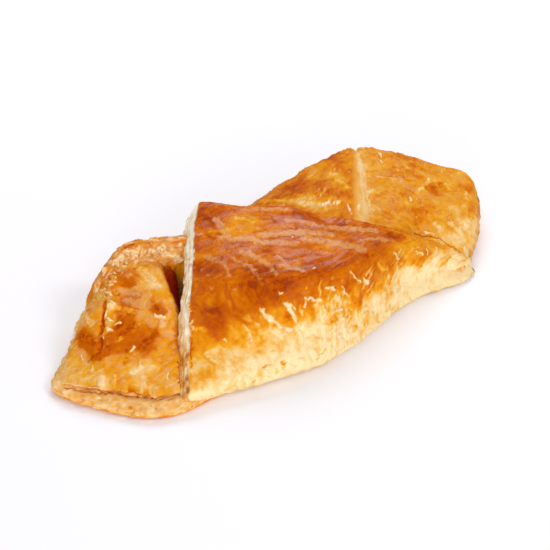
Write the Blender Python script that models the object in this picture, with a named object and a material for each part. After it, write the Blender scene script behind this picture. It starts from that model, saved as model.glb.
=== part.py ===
"""Cheese pastry: a square of laminated dough with two opposite corners folded over each other.

The long axis is X, with the open end at -X. The near fold is at -Y and its flap lies on top, and the
far fold is at +Y and its flap lies under it. +Z is up, and the pastry rests on its flat base at Z = 0.
Lengths are in millimetres and are turned to metres where the meshes are made.
"""

import math
import random

import bmesh
import bpy
import numpy as np
from mathutils import Euler, Vector, noise

MM = 0.001

# Driving dimensions of the baked pastry
TOP_HEIGHT = 32.0  # the tip of the upper flap
UNDER_HEIGHT = 27.5  # the back of the lower flap
SHEET_THICKNESS = 6.5  # one layer of puffed dough at a cut edge
BELLY = 4.0  # how far a fold bulges past its foot
SLIM_BELLY = 0.2  # share of that bulge where the fold is flat
FOOT_INSET = 2.5  # how far the base draws in under a fold
BLOCK_FLOOR = 0.9  # the flaps' blocks start inside the bottom layer
CORNER_FLOOR = 1.4  # and the open corners start inside it too

# Stations of a flap run from its free side edge to the point where it ends in the fold.
# Each has the foot on the floor (x, y) and the edge of the flap (x, y, share of the height).
NEAR_FOOT = [
    (-55.0, -27.0), (-43.0, -29.0), (-31.0, -31.0), (-19.0, -33.0), (-7.0, -33.5), (6.0, -31.5),
    (20.0, -27.5), (34.0, -24.0), (46.0, -24.0), (55.0, -25.0), (61.0, -23.0),
]
NEAR_EDGE = [
    (-14.0, 23.0, 1.00), (-8.0, 16.0, 1.00), (0.5, 9.0, 0.98), (8.5, 3.0, 0.94), (16.0, -3.0, 0.88),
    (24.0, -8.0, 0.81), (32.0, -13.0, 0.72), (40.0, -17.0, 0.58), (50.0, -17.0, 0.42), (57.0, -18.5, 0.26),
    (62.0, -20.0, 0.12),
]
NEAR_FULLNESS = [0.0, 0.25, 0.5, 0.7, 0.8, 0.8, 0.7, 0.65, 0.6, 0.5, 0.5]

FAR_FOOT = [
    (58.0, 36.5), (49.0, 37.5), (37.0, 37.5), (22.0, 35.5), (5.0, 32.5), (-10.0, 31.0),
    (-24.0, 31.0), (-37.0, 32.5), (-48.0, 31.5), (-55.0, 28.5), (-60.0, 25.0),
]
FAR_EDGE = [
    (20.0, -9.0, 0.93), (11.0, -3.0, 0.97), (2.5, 4.0, 0.98), (-7.0, 9.5, 0.98), (-17.0, 14.5, 0.97),
    (-27.5, 18.0, 0.95), (-34.0, 22.0, 0.95), (-41.0, 25.5, 0.92), (-49.0, 24.5, 0.74), (-54.0, 22.5, 0.58),
    (-58.0, 20.5, 0.36),
]
FAR_FULLNESS = [1.1, 1.0, 0.75, 0.4, 0.2, 0.2, 0.3, 0.4, 0.5, 0.5, 0.4]

# The outer face of a flap, from its foot to its edge: points of the belly in shares of the belly and
# the height, then points of the face in shares of the length and the height, where flat and where full
BELLY_POINTS = [(-0.75, 0.07), (-1.0, 0.22)]
FLAT_FACE = [(0.15, 0.34), (0.35, 0.60), (0.63, 0.83)]
FULL_FACE = [(0.005, 0.50), (0.09, 0.83), (0.27, 0.975)]

# The cut side of a flap, from under it upwards: how far out, and how far down in sheet thicknesses
CUT_LAYERS = [
    (-0.5, 1.2), (3.4, 1.04), (4.4, 0.95), (4.2, 0.80), (2.8, 0.72), (3.4, 0.64), (3.1, 0.51), (1.8, 0.44),
    (2.4, 0.36), (2.0, 0.23), (0.8, 0.17), (1.1, 0.10), (0.5, 0.01),
]
# The lower flap's edges slope instead, for its layers have puffed less
SLOPE_LAYERS = [
    (3.6, 1.3), (4.1, 1.12), (4.3, 0.96), (4.0, 0.78), (3.3, 0.60), (2.6, 0.44), (1.8, 0.28), (1.0, 0.14),
    (0.4, 0.03),
]
NEAR_CUT_REACH = 1.0  # how far the cut sides stand out, where 1 is as in the tables
FAR_CUT_REACH = 1.6
EDGE_REACH = 0.9  # the same for the free edges
EDGE_SHARE = 0.7  # a free edge is no thicker than this share of its height
TUCK = 0.35  # and is drawn in under itself at this share of its lower end
FULL_SHIFT = 3.0  # a cut side stands out fully from this height upwards
FULL_DROP = 12.0  # and steps down fully from this one
NEAR_FOLD_DROP = 1.0  # share of that step that is left at the back of a fold
FAR_FOLD_DROP = 0.4
FOLD_SHARES = (0.35, 0.65)  # the back of a fold fades into the flat of its flap between these shares

# The open corners of the square, from the outer side to the side that lies against the upper flap.
# A front point has the height of its rim, and a back point the height where it meets the flaps.
OPEN_FRONT = [
    (-82.5, 3.5, 5.2), (-76.5, -7.0, 6.2), (-69.5, -15.5, 6.2), (-63.0, -22.0, 6.0), (-55.0, -25.5, 5.5),
]
OPEN_BACK = [
    (-50.0, 29.0, 17.0), (-43.0, 29.5, 20.0), (-38.5, 27.0, 20.5), (-34.0, 22.0, 20.5), (-30.0, 14.0, 19.5),
]
SHUT_FRONT = [
    (88.5, 8.5, 15.0), (82.0, -3.0, 12.0), (75.5, -10.0, 10.0), (68.5, -16.5, 8.0), (61.0, -22.0, 5.0),
]
SHUT_BACK = [
    (63.0, 36.5, 21.0), (56.0, 30.0, 22.2), (46.0, 15.5, 22.0), (33.5, 0.0, 21.5), (22.0, -12.0, 19.5),
]
OPEN_CLIMB = [(0.0, 0.0), (0.17, 0.15), (0.33, 0.37), (0.56, 0.76), (0.78, 0.92), (1.0, 1.0)]
SHUT_CLIMB = [(0.0, 0.0), (0.2, 0.34), (0.45, 0.70), (0.7, 0.96), (0.88, 1.0), (1.0, 0.93)]
PILLOW_START = 0.06  # share of the way up where the rim gives over to the pillow
UNDER_BACK = 0.6  # share of the height where a corner tucks under the flaps

# The rims of those corners, from inside the bottom layer upwards: inset and share of the rim's height
OPEN_RIM = [(4.0, 0.3), (2.4, 0.66), (1.1, 0.78), (0.2, 0.87), (0.1, 0.95), (0.8, 1.04)]
SHUT_RIM = [(2.5, 0.12), (0.8, 0.24), (-0.5, 0.5), (-0.1, 0.78), (1.6, 1.0)]

# How the sides of those corners roll down, in shares of the height: at the outer side, at the side
# that lies against the upper flap, and how far in from each
OPEN_ROLL = (0.2, 0.35, 0.08)
SHUT_ROLL = (0.38, 0.2, 0.12)
OPEN_SLOPE = (0.28, 0.25)  # the open corner also slopes to its outer side: how far, and from where

# The gap between the open corner and the upper flap's cut side, by the distance along that side:
# how far from the side the corner's brink is, and how deep the gap is
GAP_BRINK = ([10.0, 15.0, 20.0, 26.0, 35.0, 40.0, 46.0, 52.0], [2.4, 2.9, 3.8, 4.9, 8.0, 9.8, 12.1, 13.0])
GAP_DEPTH = ([14.0, 22.0, 27.0, 34.0, 42.0, 47.0, 51.0], [0.0, 0.8, 3.0, 6.5, 7.0, 3.0, 0.0])
GAP_SLOPE = (-0.5, 3.5)  # the corner falls away between these distances inside the brink

# The bottom layer, going round the base, and its rim from below: inset and height
BASE_OUTLINE = [
    (-83.5, 4.0), (-78.5, -9.5), (-72.0, -20.5), (-65.0, -26.5), (-57.0, -28.5), (-40.0, -28.0),
    (-20.0, -30.5), (0.0, -30.0), (20.0, -25.5), (42.0, -23.5), (55.5, -25.0), (61.5, -20.5), (70.5, -11.0),
    (84.0, 6.0), (81.0, 19.0), (70.0, 31.5), (60.0, 33.0), (35.0, 33.0), (5.0, 30.0), (-25.0, 29.0),
    (-50.0, 29.0), (-60.0, 25.0), (-74.0, 13.5),
]
BASE_RIM = [
    (9.0, 0.0), (3.0, 0.0), (1.0, 0.5), (0.1, 1.5), (0.0, 2.5), (0.7, 3.5), (2.2, 4.3), (4.0, 4.7),
    (9.0, 4.8),
]

# Torn flakes along the cut edges: from, to, how many, half width
CRUMB_LINES = [
    ((-29.0, 18.0, 23.5), (-41.0, 23.0, 22.0), 7, 1.7),
    ((-42.0, 23.5, 22.0), (-54.0, 21.5, 13.5), 6, 1.6),
    ((-50.5, -19.0, 8.0), (-34.0, 4.0, 20.5), 8, 1.2),
    ((-32.0, 6.5, 21.5), (-19.0, 20.5, 26.5), 5, 1.2),
    ((-70.0, -20.0, 2.6), (-61.0, -25.5, 2.6), 4, 1.5),
    ((3.0, 8.0, 29.0), (11.0, 2.5, 28.5), 2, 1.8),
]
CRUMB_FORM = (1.5, 1.0, 0.45)  # length, width and thickness in half widths
CRUMB_TILT = (0.5, 0.5, 0.6)  # how far a flake may be turned each way, in radians
CRUMB_SIZES = (0.7, 1.3)
CRUMB_PLACES = (0.1, 0.9)  # where a flake may lie in its own stretch of the line
CRUMB_ROUGHNESS, CRUMB_GRAIN = 0.3, 1.3
CRUMB_SEED = 12

# Baking swells the dough unevenly: how far in millimetres, and how far apart the swells are
BROAD_SWELL, BROAD_SPACING = 0.9, 21.0
FINE_SWELL, FINE_SPACING = 0.45, 8.0
FINE_SHIFT = (7.3, 1.9, 4.1)
FULL_SWELL = 4.0  # the swells are full from this height upwards
BAKE_SEED = 6

# How finely the blocks are made, fused and thinned
FLAP_STATIONS = 44
FACE_POINTS = 24
CORNER_STATIONS = 40
CORNER_POINTS = 32
CLIMB_POINTS = 60
OUTLINE_POINTS = 92
VOXEL = 0.55
TRIANGLES = 11000
SOLE = 0.3  # anything lower than this lies flat on the floor
CREASE_ANGLE = 38.0  # degrees between faces that still shade as one


def mix(low, high, share):
    """From low at share 0 to high at share 1."""
    return low + (high - low) * share


def soft_step(low, high, value):
    """A soft step from 0 at low to 1 at high."""
    t = np.clip((value - low) / (high - low), 0.0, 1.0)
    return t * t * (3.0 - 2.0 * t)


def spline(points, count, closed=False):
    """Points at even steps of the index along a Catmull-Rom curve through the given points."""
    points = np.array(points, float)
    last = len(points) if closed else len(points) - 1
    made = []
    for place in np.linspace(0, last, count, endpoint=not closed):
        i = min(int(place), last - 1)
        t = place - i
        if closed:
            near = [points[(i + k) % last] for k in (-1, 0, 1, 2)]
        else:
            before = points[i - 1] if i else 2 * points[0] - points[1]
            after = points[i + 2] if i + 2 <= last else 2 * points[last] - points[last - 1]
            near = [before, points[i], points[i + 1], after]
        a, b, c, d = near
        bend = (2 * a - 5 * b + 4 * c - d) * t**2 + (3 * b - a - 3 * c + d) * t**3
        made.append(0.5 * (2 * b + (c - a) * t + bend))
    return np.array(made)


def swollen(rings):
    """Rings of points after baking, which pushes them about in soft swells."""
    moved = np.array(rings, float)
    for point in moved.reshape(-1, 3):
        place = Vector(point)
        broad = noise.noise_vector(place / BROAD_SPACING)
        fine = noise.noise_vector(place / FINE_SPACING + Vector(FINE_SHIFT))
        point += np.array(BROAD_SWELL * broad + FINE_SWELL * fine) * min(1.0, point[2] / FULL_SWELL)
        point[2] = max(0.0, point[2])
    return moved


def skin_over(name, rings, material):
    """A closed skin over rings of points, with a fan at each end."""
    count = len(rings[0])
    points = [tuple(p) for ring in rings for p in ring]
    faces = []
    for i in range(len(rings) - 1):
        for j in range(count):
            k = (j + 1) % count
            faces.append((i * count + j, i * count + k, (i + 1) * count + k, (i + 1) * count + j))
    for ring, turn in ((0, -1), (len(rings) - 1, 1)):
        points.append(tuple(rings[ring].mean(axis=0)))
        for j in range(count):
            k = (j + 1) % count
            faces.append((ring * count + j, ring * count + k, len(points) - 1)[::turn])
    mesh = bpy.data.meshes.new(name)
    mesh.from_pydata([tuple(c * MM for c in p) for p in points], [], faces)
    work = bmesh.new()
    work.from_mesh(mesh)
    bmesh.ops.recalc_face_normals(work, faces=work.faces)
    work.to_mesh(mesh)
    work.free()
    mesh.materials.append(material)
    made = bpy.data.objects.new(name, mesh)
    bpy.context.scene.collection.objects.link(made)
    return made


def flap_profile(length, height, fullness):
    """Across a fold, from its foot, out over the belly, up the side and along the flap to its edge."""
    belly = BELLY * mix(SLIM_BELLY, 1.0, fullness)
    controls = [(FOOT_INSET, BLOCK_FLOOR)]
    controls += [(out * belly, up * height) for out, up in BELLY_POINTS]
    for flat, full in zip(FLAT_FACE, FULL_FACE):
        controls.append((mix(flat[0], full[0], fullness) * length, mix(flat[1], full[1], fullness) * height))
    controls.append((length, height))
    return spline(controls, FACE_POINTS)


def free_edge(length, height, layers):
    """Down the free edge of a flap: the layers fan out, then draw back under it."""
    thick = min(SHEET_THICKNESS, EDGE_SHARE * height)
    return [(length + EDGE_REACH * out, height - down * thick) for out, down in layers[::-1]]


def flap_ring(foot, edge, profile, wall, shift, drop, fold_drop):
    """One closed section of a flap's block, where a shifted and dropped section is part of its cut side."""
    along = (edge - foot) / np.linalg.norm(edge - foot)
    side = np.array([-along[1], along[0]])
    end, low = wall[-1]
    flat = [*profile, *wall, (end, TUCK * low), (end, BLOCK_FLOOR)]
    flat += [(mix(FOOT_INSET, end, share), BLOCK_FLOOR) for share in (2 / 3, 1 / 3)]
    ring = []
    for i, (out, z) in enumerate(flat):
        x, y = foot + along * out + side * shift * min(1.0, z / FULL_SHIFT)
        held = mix(fold_drop, 1.0, soft_step(*FOLD_SHARES, i / (FACE_POINTS - 1)))
        ring.append((x, y, max(BLOCK_FLOOR, z - drop * held * min(1.0, z / FULL_DROP))))
    return ring


def flap_block(name, feet, edges, fullness, height, layers, cut_reach, fold_drop, material):
    """The block of dough under one flap, from the floor up to the flap's outer face."""
    feet = spline(feet, FLAP_STATIONS)
    edges = spline(edges, FLAP_STATIONS)
    fullness = spline([(f, 0.0) for f in fullness], FLAP_STATIONS)[:, 0]
    rings = []
    for foot, edge, full in zip(feet, edges, fullness):
        length = np.linalg.norm(edge[:2] - foot)
        profile = flap_profile(length, edge[2] * height, full)
        wall = free_edge(length, edge[2] * height, layers)
        steps = [] if rings else [(cut_reach * out, down * SHEET_THICKNESS) for out, down in layers]
        for shift, drop in [*steps, (0.0, 0.0)]:
            rings.append(flap_ring(foot, edge[:2], profile, wall, shift, drop, fold_drop))
    return skin_over(name, swollen(rings), material)


def rolled(share, at_start, at_end, reach):
    """How far a corner's sides have rolled down, from 0 in its middle to the given amounts at its sides."""
    start = max(0.0, 1.0 - share / reach)
    end = max(0.0, 1.0 - (1.0 - share) / reach)
    return at_start * (1.0 - math.sqrt(1.0 - start**2)) + at_end * (1.0 - math.sqrt(1.0 - end**2))


def corner_rings(fronts, backs, nose, climb, drops):
    """An open corner of the square: a puffed pillow that climbs from its rim to the flaps."""
    count = len(drops)
    shares = np.linspace(PILLOW_START, 1.0, CORNER_POINTS)
    rise = spline(climb, CLIMB_POINTS)
    heights = np.interp(shares, rise[:, 0], rise[:, 1])
    rings = []
    for front, back, drop in zip(spline(fronts, count), spline(backs, count), drops):
        length = np.linalg.norm(back[:2] - front[:2])
        flat = [(inset / length, max(CORNER_FLOOR, share * front[2])) for inset, share in nose]
        flat += [(share, mix(front[2], back[2], height)) for share, height in zip(shares, heights)]
        flat += [(1.0, UNDER_BACK * back[2]), (1.0, CORNER_FLOOR), (0.5, CORNER_FLOOR)]
        rings.append([(*mix(front[:2], back[:2], share), z - (z - CORNER_FLOOR) * drop) for share, z in flat])
    return swollen(rings)


def sink_gap(rings):
    """Lower the open corner beside the upper flap's cut side, where a gap shows between them."""
    start, end = np.array(NEAR_FOOT[0]), np.array(NEAR_EDGE[0][:2])
    along = (end - start) / np.linalg.norm(end - start)
    outward = np.array([-along[1], along[0]])
    from_foot = rings[..., :2] - start
    place = from_foot @ along
    inside = np.interp(place, *GAP_BRINK) - from_foot @ outward
    depth = np.interp(place, *GAP_DEPTH) * soft_step(*GAP_SLOPE, inside)
    rings[..., 2] = np.minimum(rings[..., 2], np.maximum(rings[..., 2] - depth, CORNER_FLOOR))
    return rings


def open_corner(material):
    """The open corner at -X, with the gap between it and the upper flap."""
    shares = np.linspace(0, 1, CORNER_STATIONS)
    fall, reach = OPEN_SLOPE
    drops = [fall * max(0.0, 1.0 - share / reach) + rolled(share, *OPEN_ROLL) for share in shares]
    rings = corner_rings(OPEN_FRONT, OPEN_BACK, OPEN_RIM, OPEN_CLIMB, drops)
    return skin_over("open_corner", sink_gap(rings), material)


def shut_corner(material):
    """The open corner at +X, which the flaps press shut."""
    drops = [rolled(share, *SHUT_ROLL) for share in np.linspace(0, 1, CORNER_STATIONS)]
    return skin_over("shut_corner", corner_rings(SHUT_FRONT, SHUT_BACK, SHUT_RIM, SHUT_CLIMB, drops), material)


def bottom_layer(material):
    """The bottom layer, round at its rim."""
    outline = spline(BASE_OUTLINE, OUTLINE_POINTS, closed=True)
    centre = outline.mean(axis=0)
    inward = (centre - outline) / np.linalg.norm(centre - outline, axis=1, keepdims=True)
    heights = np.ones((OUTLINE_POINTS, 1))
    rings = [np.hstack([outline + inward * inset, heights * z]) for inset, z in BASE_RIM]
    return skin_over("bottom_layer", swollen(rings), material)


def crumbs(lines, material):
    """Torn flakes along the cut edges: flat lumps of pastry half sunk in the layers."""
    draw = random.Random(CRUMB_SEED)
    made = []
    for start, end, count, size in lines:
        start, end = Vector(start), Vector(end)
        for i in range(count):
            place = start.lerp(end, (i + draw.uniform(*CRUMB_PLACES)) / count)
            work = bmesh.new()
            bmesh.ops.create_icosphere(work, subdivisions=2, radius=1.0)
            tilt = Euler([draw.uniform(-most, most) for most in CRUMB_TILT]).to_quaternion()
            turn = (end - start).to_track_quat("X", "Z") @ tilt
            form = Vector(CRUMB_FORM) * size * draw.uniform(*CRUMB_SIZES)
            for v in work.verts:
                rough = 1.0 + CRUMB_ROUGHNESS * noise.noise(v.co * CRUMB_GRAIN + place)
                v.co = (place + turn @ (v.co * form) * rough) * MM
            mesh = bpy.data.meshes.new(f"crumb_{len(made)}")
            work.to_mesh(mesh)
            work.free()
            mesh.materials.append(material)
            piece = bpy.data.objects.new(mesh.name, mesh)
            bpy.context.scene.collection.objects.link(piece)
            made.append(piece)
    return made


def applied(target):
    """Apply the modifiers of an object to its mesh."""
    bpy.context.view_layer.update()
    graph = bpy.context.evaluated_depsgraph_get()
    mesh = bpy.data.meshes.new_from_object(target.evaluated_get(graph))
    target.modifiers.clear()
    target.data = mesh
    return mesh


def fused(whole, parts):
    """Join the parts to the whole as one skin, and remove them."""
    joined = bpy.data.collections.new("joined")
    for piece in parts:
        bpy.context.scene.collection.objects.unlink(piece)
        joined.objects.link(piece)
    bpy.context.scene.collection.children.link(joined)
    union = whole.modifiers.new("join", "BOOLEAN")
    union.operation = "UNION"
    union.operand_type = "COLLECTION"
    union.collection = joined
    union.solver = "MANIFOLD"
    skin = whole.modifiers.new("fuse", "REMESH")
    skin.mode = "VOXEL"
    skin.voxel_size = VOXEL * MM
    mesh = applied(whole)
    for piece in parts:
        bpy.data.objects.remove(piece)
    bpy.data.collections.remove(joined)
    return mesh


def keep_outer_skin(mesh):
    """Fill sealed hollows and drop scraps: only the skin that spans the whole pastry stays."""
    work = bmesh.new()
    work.from_mesh(mesh)
    left = set(work.verts)
    islands = []
    while left:
        island = {left.pop()}
        edge = set(island)
        while edge:
            edge = {e.other_vert(v) for v in edge for e in v.link_edges} - island
            island |= edge
        left -= island
        islands.append(island)
    largest = max(islands, key=len)
    spare = [v for island in islands if island is not largest for v in island]
    bmesh.ops.delete(work, geom=spare, context="VERTS")
    for v in work.verts:
        if v.co.z < SOLE * MM:
            v.co.z = 0.0
    work.to_mesh(mesh)
    work.free()


def centre_on_origin(mesh):
    """Put the middle of the footprint's box over the origin."""
    places = np.array([v.co for v in mesh.vertices])
    middle = (places.min(axis=0) + places.max(axis=0)) / 2
    for v in mesh.vertices:
        v.co.x -= middle[0]
        v.co.y -= middle[1]
    mesh.update()


def dough():
    """Baked puff pastry under egg wash: golden brown and glossy."""
    material = bpy.data.materials.new("glazed_pastry")
    material.use_nodes = True
    shader = material.node_tree.nodes["Principled BSDF"]
    shader.inputs["Base Color"].default_value = (0.56, 0.25, 0.045, 1.0)
    shader.inputs["Roughness"].default_value = 0.35
    shader.inputs["Metallic"].default_value = 0.0
    return material


def main():
    for old in list(bpy.data.objects):
        bpy.data.objects.remove(old)
    noise.seed_set(BAKE_SEED)
    skin = dough()
    near_finish = (TOP_HEIGHT, CUT_LAYERS, NEAR_CUT_REACH, NEAR_FOLD_DROP)
    far_finish = (UNDER_HEIGHT, SLOPE_LAYERS, FAR_CUT_REACH, FAR_FOLD_DROP)
    whole = flap_block("pastry", NEAR_FOOT, NEAR_EDGE, NEAR_FULLNESS, *near_finish, skin)
    lower_flap = flap_block("lower_flap", FAR_FOOT, FAR_EDGE, FAR_FULLNESS, *far_finish, skin)
    parts = [lower_flap, open_corner(skin), shut_corner(skin), bottom_layer(skin), *crumbs(CRUMB_LINES, skin)]
    keep_outer_skin(fused(whole, parts))
    thinner = whole.modifiers.new("thinner", "DECIMATE")
    thinner.ratio = TRIANGLES / (2.0 * len(whole.data.polygons))
    mesh = applied(whole)
    centre_on_origin(mesh)
    mesh.shade_smooth()
    mesh.set_sharp_from_angle(angle=math.radians(CREASE_ANGLE))


main()
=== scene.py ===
"""Folded cheese pastry: the flaps, open corners and layers of a baked square of puff pastry.

Points and sizes in the tables are in millimetres, and are turned to metres where meshes are made.
"""

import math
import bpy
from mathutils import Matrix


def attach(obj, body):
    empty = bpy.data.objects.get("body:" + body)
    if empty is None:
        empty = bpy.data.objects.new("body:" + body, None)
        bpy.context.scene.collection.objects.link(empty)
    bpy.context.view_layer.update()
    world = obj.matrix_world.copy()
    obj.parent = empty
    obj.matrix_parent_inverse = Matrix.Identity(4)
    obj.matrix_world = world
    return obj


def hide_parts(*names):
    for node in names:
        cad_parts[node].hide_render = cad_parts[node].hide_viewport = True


bl_info = {
    "name": "Folded Cheese Pastry",
    "version": (1, 0, 0),
    "blender": (4, 5, 0),
    "location": "View3D > Sidebar > Pastry",
    "description": "Models a baked, egg-washed puff pastry folded from a square, and its studio",
    "category": "Add Mesh",
}

import bpy
import numpy as np
from bpy.props import FloatProperty, IntProperty, PointerProperty
from mathutils import Euler, Vector, noise

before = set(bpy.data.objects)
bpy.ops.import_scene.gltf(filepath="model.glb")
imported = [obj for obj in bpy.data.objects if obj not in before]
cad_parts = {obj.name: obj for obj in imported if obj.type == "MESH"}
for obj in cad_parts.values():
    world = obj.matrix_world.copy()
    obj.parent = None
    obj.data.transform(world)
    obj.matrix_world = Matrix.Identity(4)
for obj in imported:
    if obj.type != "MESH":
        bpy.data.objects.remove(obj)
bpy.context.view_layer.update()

MM = 0.001
NODE = "pastry"

# The tables are measured from a point that lies this far from the middle of the pastry
MIDDLE = np.array((2.92, 2.29, 0.0))

# Stations of the flaps, from the free side edge to the point where they end in the fold:
# the foot on the floor (x, y), and the edge of the flap (x, y, share of the height)
NEAR_FOOT = [
    (-55.0, -27.0), (-43.0, -29.0), (-31.0, -31.0), (-19.0, -33.0), (-7.0, -33.5), (6.0, -31.5),
    (20.0, -27.5), (34.0, -24.0), (46.0, -24.0), (55.0, -25.0), (61.0, -23.0),
]
NEAR_EDGE = [
    (-14.0, 23.0, 1.00), (-8.0, 16.0, 1.00), (0.5, 9.0, 0.98), (8.5, 3.0, 0.94), (16.0, -3.0, 0.88),
    (24.0, -8.0, 0.81), (32.0, -13.0, 0.72), (40.0, -17.0, 0.58), (50.0, -17.0, 0.42), (57.0, -18.5, 0.26),
    (62.0, -20.0, 0.12),
]
NEAR_FULLNESS = [0.0, 0.25, 0.5, 0.7, 0.8, 0.8, 0.7, 0.65, 0.6, 0.5, 0.5]
FAR_FOOT = [
    (58.0, 36.5), (49.0, 37.5), (37.0, 37.5), (22.0, 35.5), (5.0, 32.5), (-10.0, 31.0),
    (-24.0, 31.0), (-37.0, 32.5), (-48.0, 31.5), (-55.0, 28.5), (-60.0, 25.0),
]
FAR_EDGE = [
    (20.0, -9.0, 0.93), (11.0, -3.0, 0.97), (2.5, 4.0, 0.98), (-7.0, 9.5, 0.98), (-17.0, 14.5, 0.97),
    (-27.5, 18.0, 0.95), (-34.0, 22.0, 0.95), (-41.0, 25.5, 0.92), (-49.0, 24.5, 0.74), (-54.0, 22.5, 0.58),
    (-58.0, 20.5, 0.36),
]
FAR_FULLNESS = [1.1, 1.0, 0.75, 0.4, 0.2, 0.2, 0.3, 0.4, 0.5, 0.5, 0.4]

# The open corners: points of the rim and of the line where they meet the flaps, with their heights
OPEN_FRONT = [(-82.5, 3.5, 5.2), (-76.5, -7.0, 6.2), (-69.5, -15.5, 6.2), (-63.0, -22.0, 6.0), (-55.0, -25.5, 5.5)]
OPEN_BACK = [(-50.0, 29.0, 17.0), (-43.0, 29.5, 20.0), (-38.5, 27.0, 20.5), (-34.0, 22.0, 20.5), (-30.0, 14.0, 19.5)]
SHUT_FRONT = [(88.5, 8.5, 15.0), (82.0, -3.0, 12.0), (75.5, -10.0, 10.0), (68.5, -16.5, 8.0), (61.0, -22.0, 5.0)]
SHUT_BACK = [(63.0, 36.5, 21.0), (56.0, 30.0, 22.2), (46.0, 15.5, 22.0), (33.5, 0.0, 21.5), (22.0, -12.0, 19.5)]
OPEN_CLIMB = [(0.0, 0.0), (0.17, 0.15), (0.33, 0.37), (0.56, 0.76), (0.78, 0.92), (1.0, 1.0)]
SHUT_CLIMB = [(0.0, 0.0), (0.2, 0.34), (0.45, 0.70), (0.7, 0.96), (0.88, 1.0), (1.0, 0.93)]
OPEN_RIM = [(4.0, 0.3), (2.4, 0.66), (1.1, 0.78), (0.2, 0.87), (0.1, 0.95), (0.8, 1.04)]
SHUT_RIM = [(2.5, 0.12), (0.8, 0.24), (-0.5, 0.5), (-0.1, 0.78), (1.6, 1.0)]

# The cut side of a flap, from under it upwards: how far out, and how far down in sheet thicknesses
CUT_LAYERS = [
    (-0.5, 1.2), (3.4, 1.04), (4.4, 0.95), (4.2, 0.80), (2.8, 0.72), (3.4, 0.64), (3.1, 0.51), (1.8, 0.44),
    (2.4, 0.36), (2.0, 0.23), (0.8, 0.17), (1.1, 0.10), (0.5, 0.01),
]
# The lower flap's edges slope instead, for its layers have puffed less
SLOPE_LAYERS = [
    (3.6, 1.3), (4.1, 1.12), (4.3, 0.96), (4.0, 0.78), (3.3, 0.60), (2.6, 0.44), (1.8, 0.28), (1.0, 0.14),
    (0.4, 0.03),
]
BASE_OUTLINE = [
    (-83.5, 4.0), (-78.5, -9.5), (-72.0, -20.5), (-65.0, -26.5), (-57.0, -28.5), (-40.0, -28.0), (-20.0, -30.5),
    (0.0, -30.0), (20.0, -25.5), (42.0, -23.5), (55.5, -25.0), (61.5, -20.5), (70.5, -11.0), (84.0, 6.0),
    (81.0, 19.0), (70.0, 31.5), (60.0, 33.0), (35.0, 33.0), (5.0, 30.0), (-25.0, 29.0), (-50.0, 29.0),
    (-60.0, 25.0), (-74.0, 13.5),
]
BASE_STEPS = [(9.0, 0.0), (3.0, 0.0), (1.0, 0.5), (0.1, 1.5), (0.0, 2.5), (0.7, 3.5), (2.2, 4.3), (4.0, 4.7), (9.0, 4.8)]
BAKE_SEED = 6
END_RINGS = 30
UNDER_COLUMNS = 40

# From the pastry to the camera
TO_CAMERA = Vector((-0.5104, -0.6533, 0.5592)).normalized()
SKINS = ("bottom_layer", "open_corner", "shut_corner", "far_flap", "near_flap")

# The gap between the open corner and the near flap's cut side, by the distance along that side:
# how far from the side the corner's brink is, and how deep the gap is
GAP_AXES = np.array([(0.634, -0.773), (0.773, 0.634)])
GAP_BRINK = ([10.0, 15.0, 20.0, 26.0, 35.0, 40.0, 46.0, 52.0], [2.4, 2.9, 3.8, 4.9, 8.0, 9.8, 12.1, 13.0])
GAP_DEPTH = ([14.0, 22.0, 27.0, 34.0, 42.0, 47.0, 51.0], [0.0, 0.8, 3.0, 6.5, 7.0, 3.0, 0.0])

# The crease down the outer side of the open corner, where a strip of it is folded down
CREASE = [
    (-49.0, 24.0), (-51.5, 20.5), (-54.4, 17.6), (-56.6, 14.8), (-60.1, 10.3), (-63.0, 6.7), (-65.8, 3.2), (-68.1, 0.4),
]

# Where the near flap's side turns from pale to orange: x, and the height of the boundary
NEAR_LINE = [(-56, 12), (-50, 13), (-33, 16), (-26, 17), (-17, 19), (-4, 19), (13, 16), (28, 13), (48, 10), (62, 6)]

# Browner and paler patches of the crust: centre (x, y, z), radius and how much browner
NEAR_PATCHES = [
    (-15.5, 16.1, 31.2, 7.0, 0.12), (-10.4, 5.4, 30.8, 7.0, -0.18), (-30.3, 1.2, 25.5, 3.5, 0.22),
    (-33.3, -7.9, 23.1, 5.0, 0.02), (-37.9, -16.5, 18.0, 5.0, 0.18), (-21.4, -18.1, 26.1, 8.0, 0.16),
    (-25.0, 4.8, 27.7, 3.5, -0.06), (-13.5, -23.0, 25.6, 6.0, 0.08), (-2.4, -23.5, 26.6, 6.0, 0.09),
    (7.0, -22.0, 26.0, 5.0, 0.04), (3.6, -17.1, 27.5, 6.0, -0.06), (8.1, 0.9, 30.0, 3.5, 0.16),
    (18.3, -7.9, 26.8, 3.5, 0.16), (33.2, -16.8, 21.4, 3.0, 0.24), (12.9, -24.0, 23.5, 5.0, 0.04),
    (5.0, -30.0, 9.0, 7.0, 0.18), (6.2, -29.6, 15.4, 3.0, 0.22), (20.8, -27.4, 9.3, 2.5, 0.14),
]
FAR_PATCHES = [
    (22.4, 19.9, 25.8, 6.0, 0.16), (36.5, 18.2, 26.1, 4.0, -0.05), (18.6, 8.9, 26.4, 5.5, -0.24), (3.0, 13.0, 27.0, 5.0, -0.16),
    (-40.6, 23.9, 24.3, 5.0, 0.12), (10.0, 26.0, 25.0, 7.0, 0.1), (-14.0, 25.0, 25.0, 7.0, 0.06),
    (-30.0, 27.0, 24.0, 6.0, 0.12), (44.0, 30.0, 22.0, 6.0, 0.1), (0.0, 33.0, 18.0, 6.0, 0.08),
]
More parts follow.
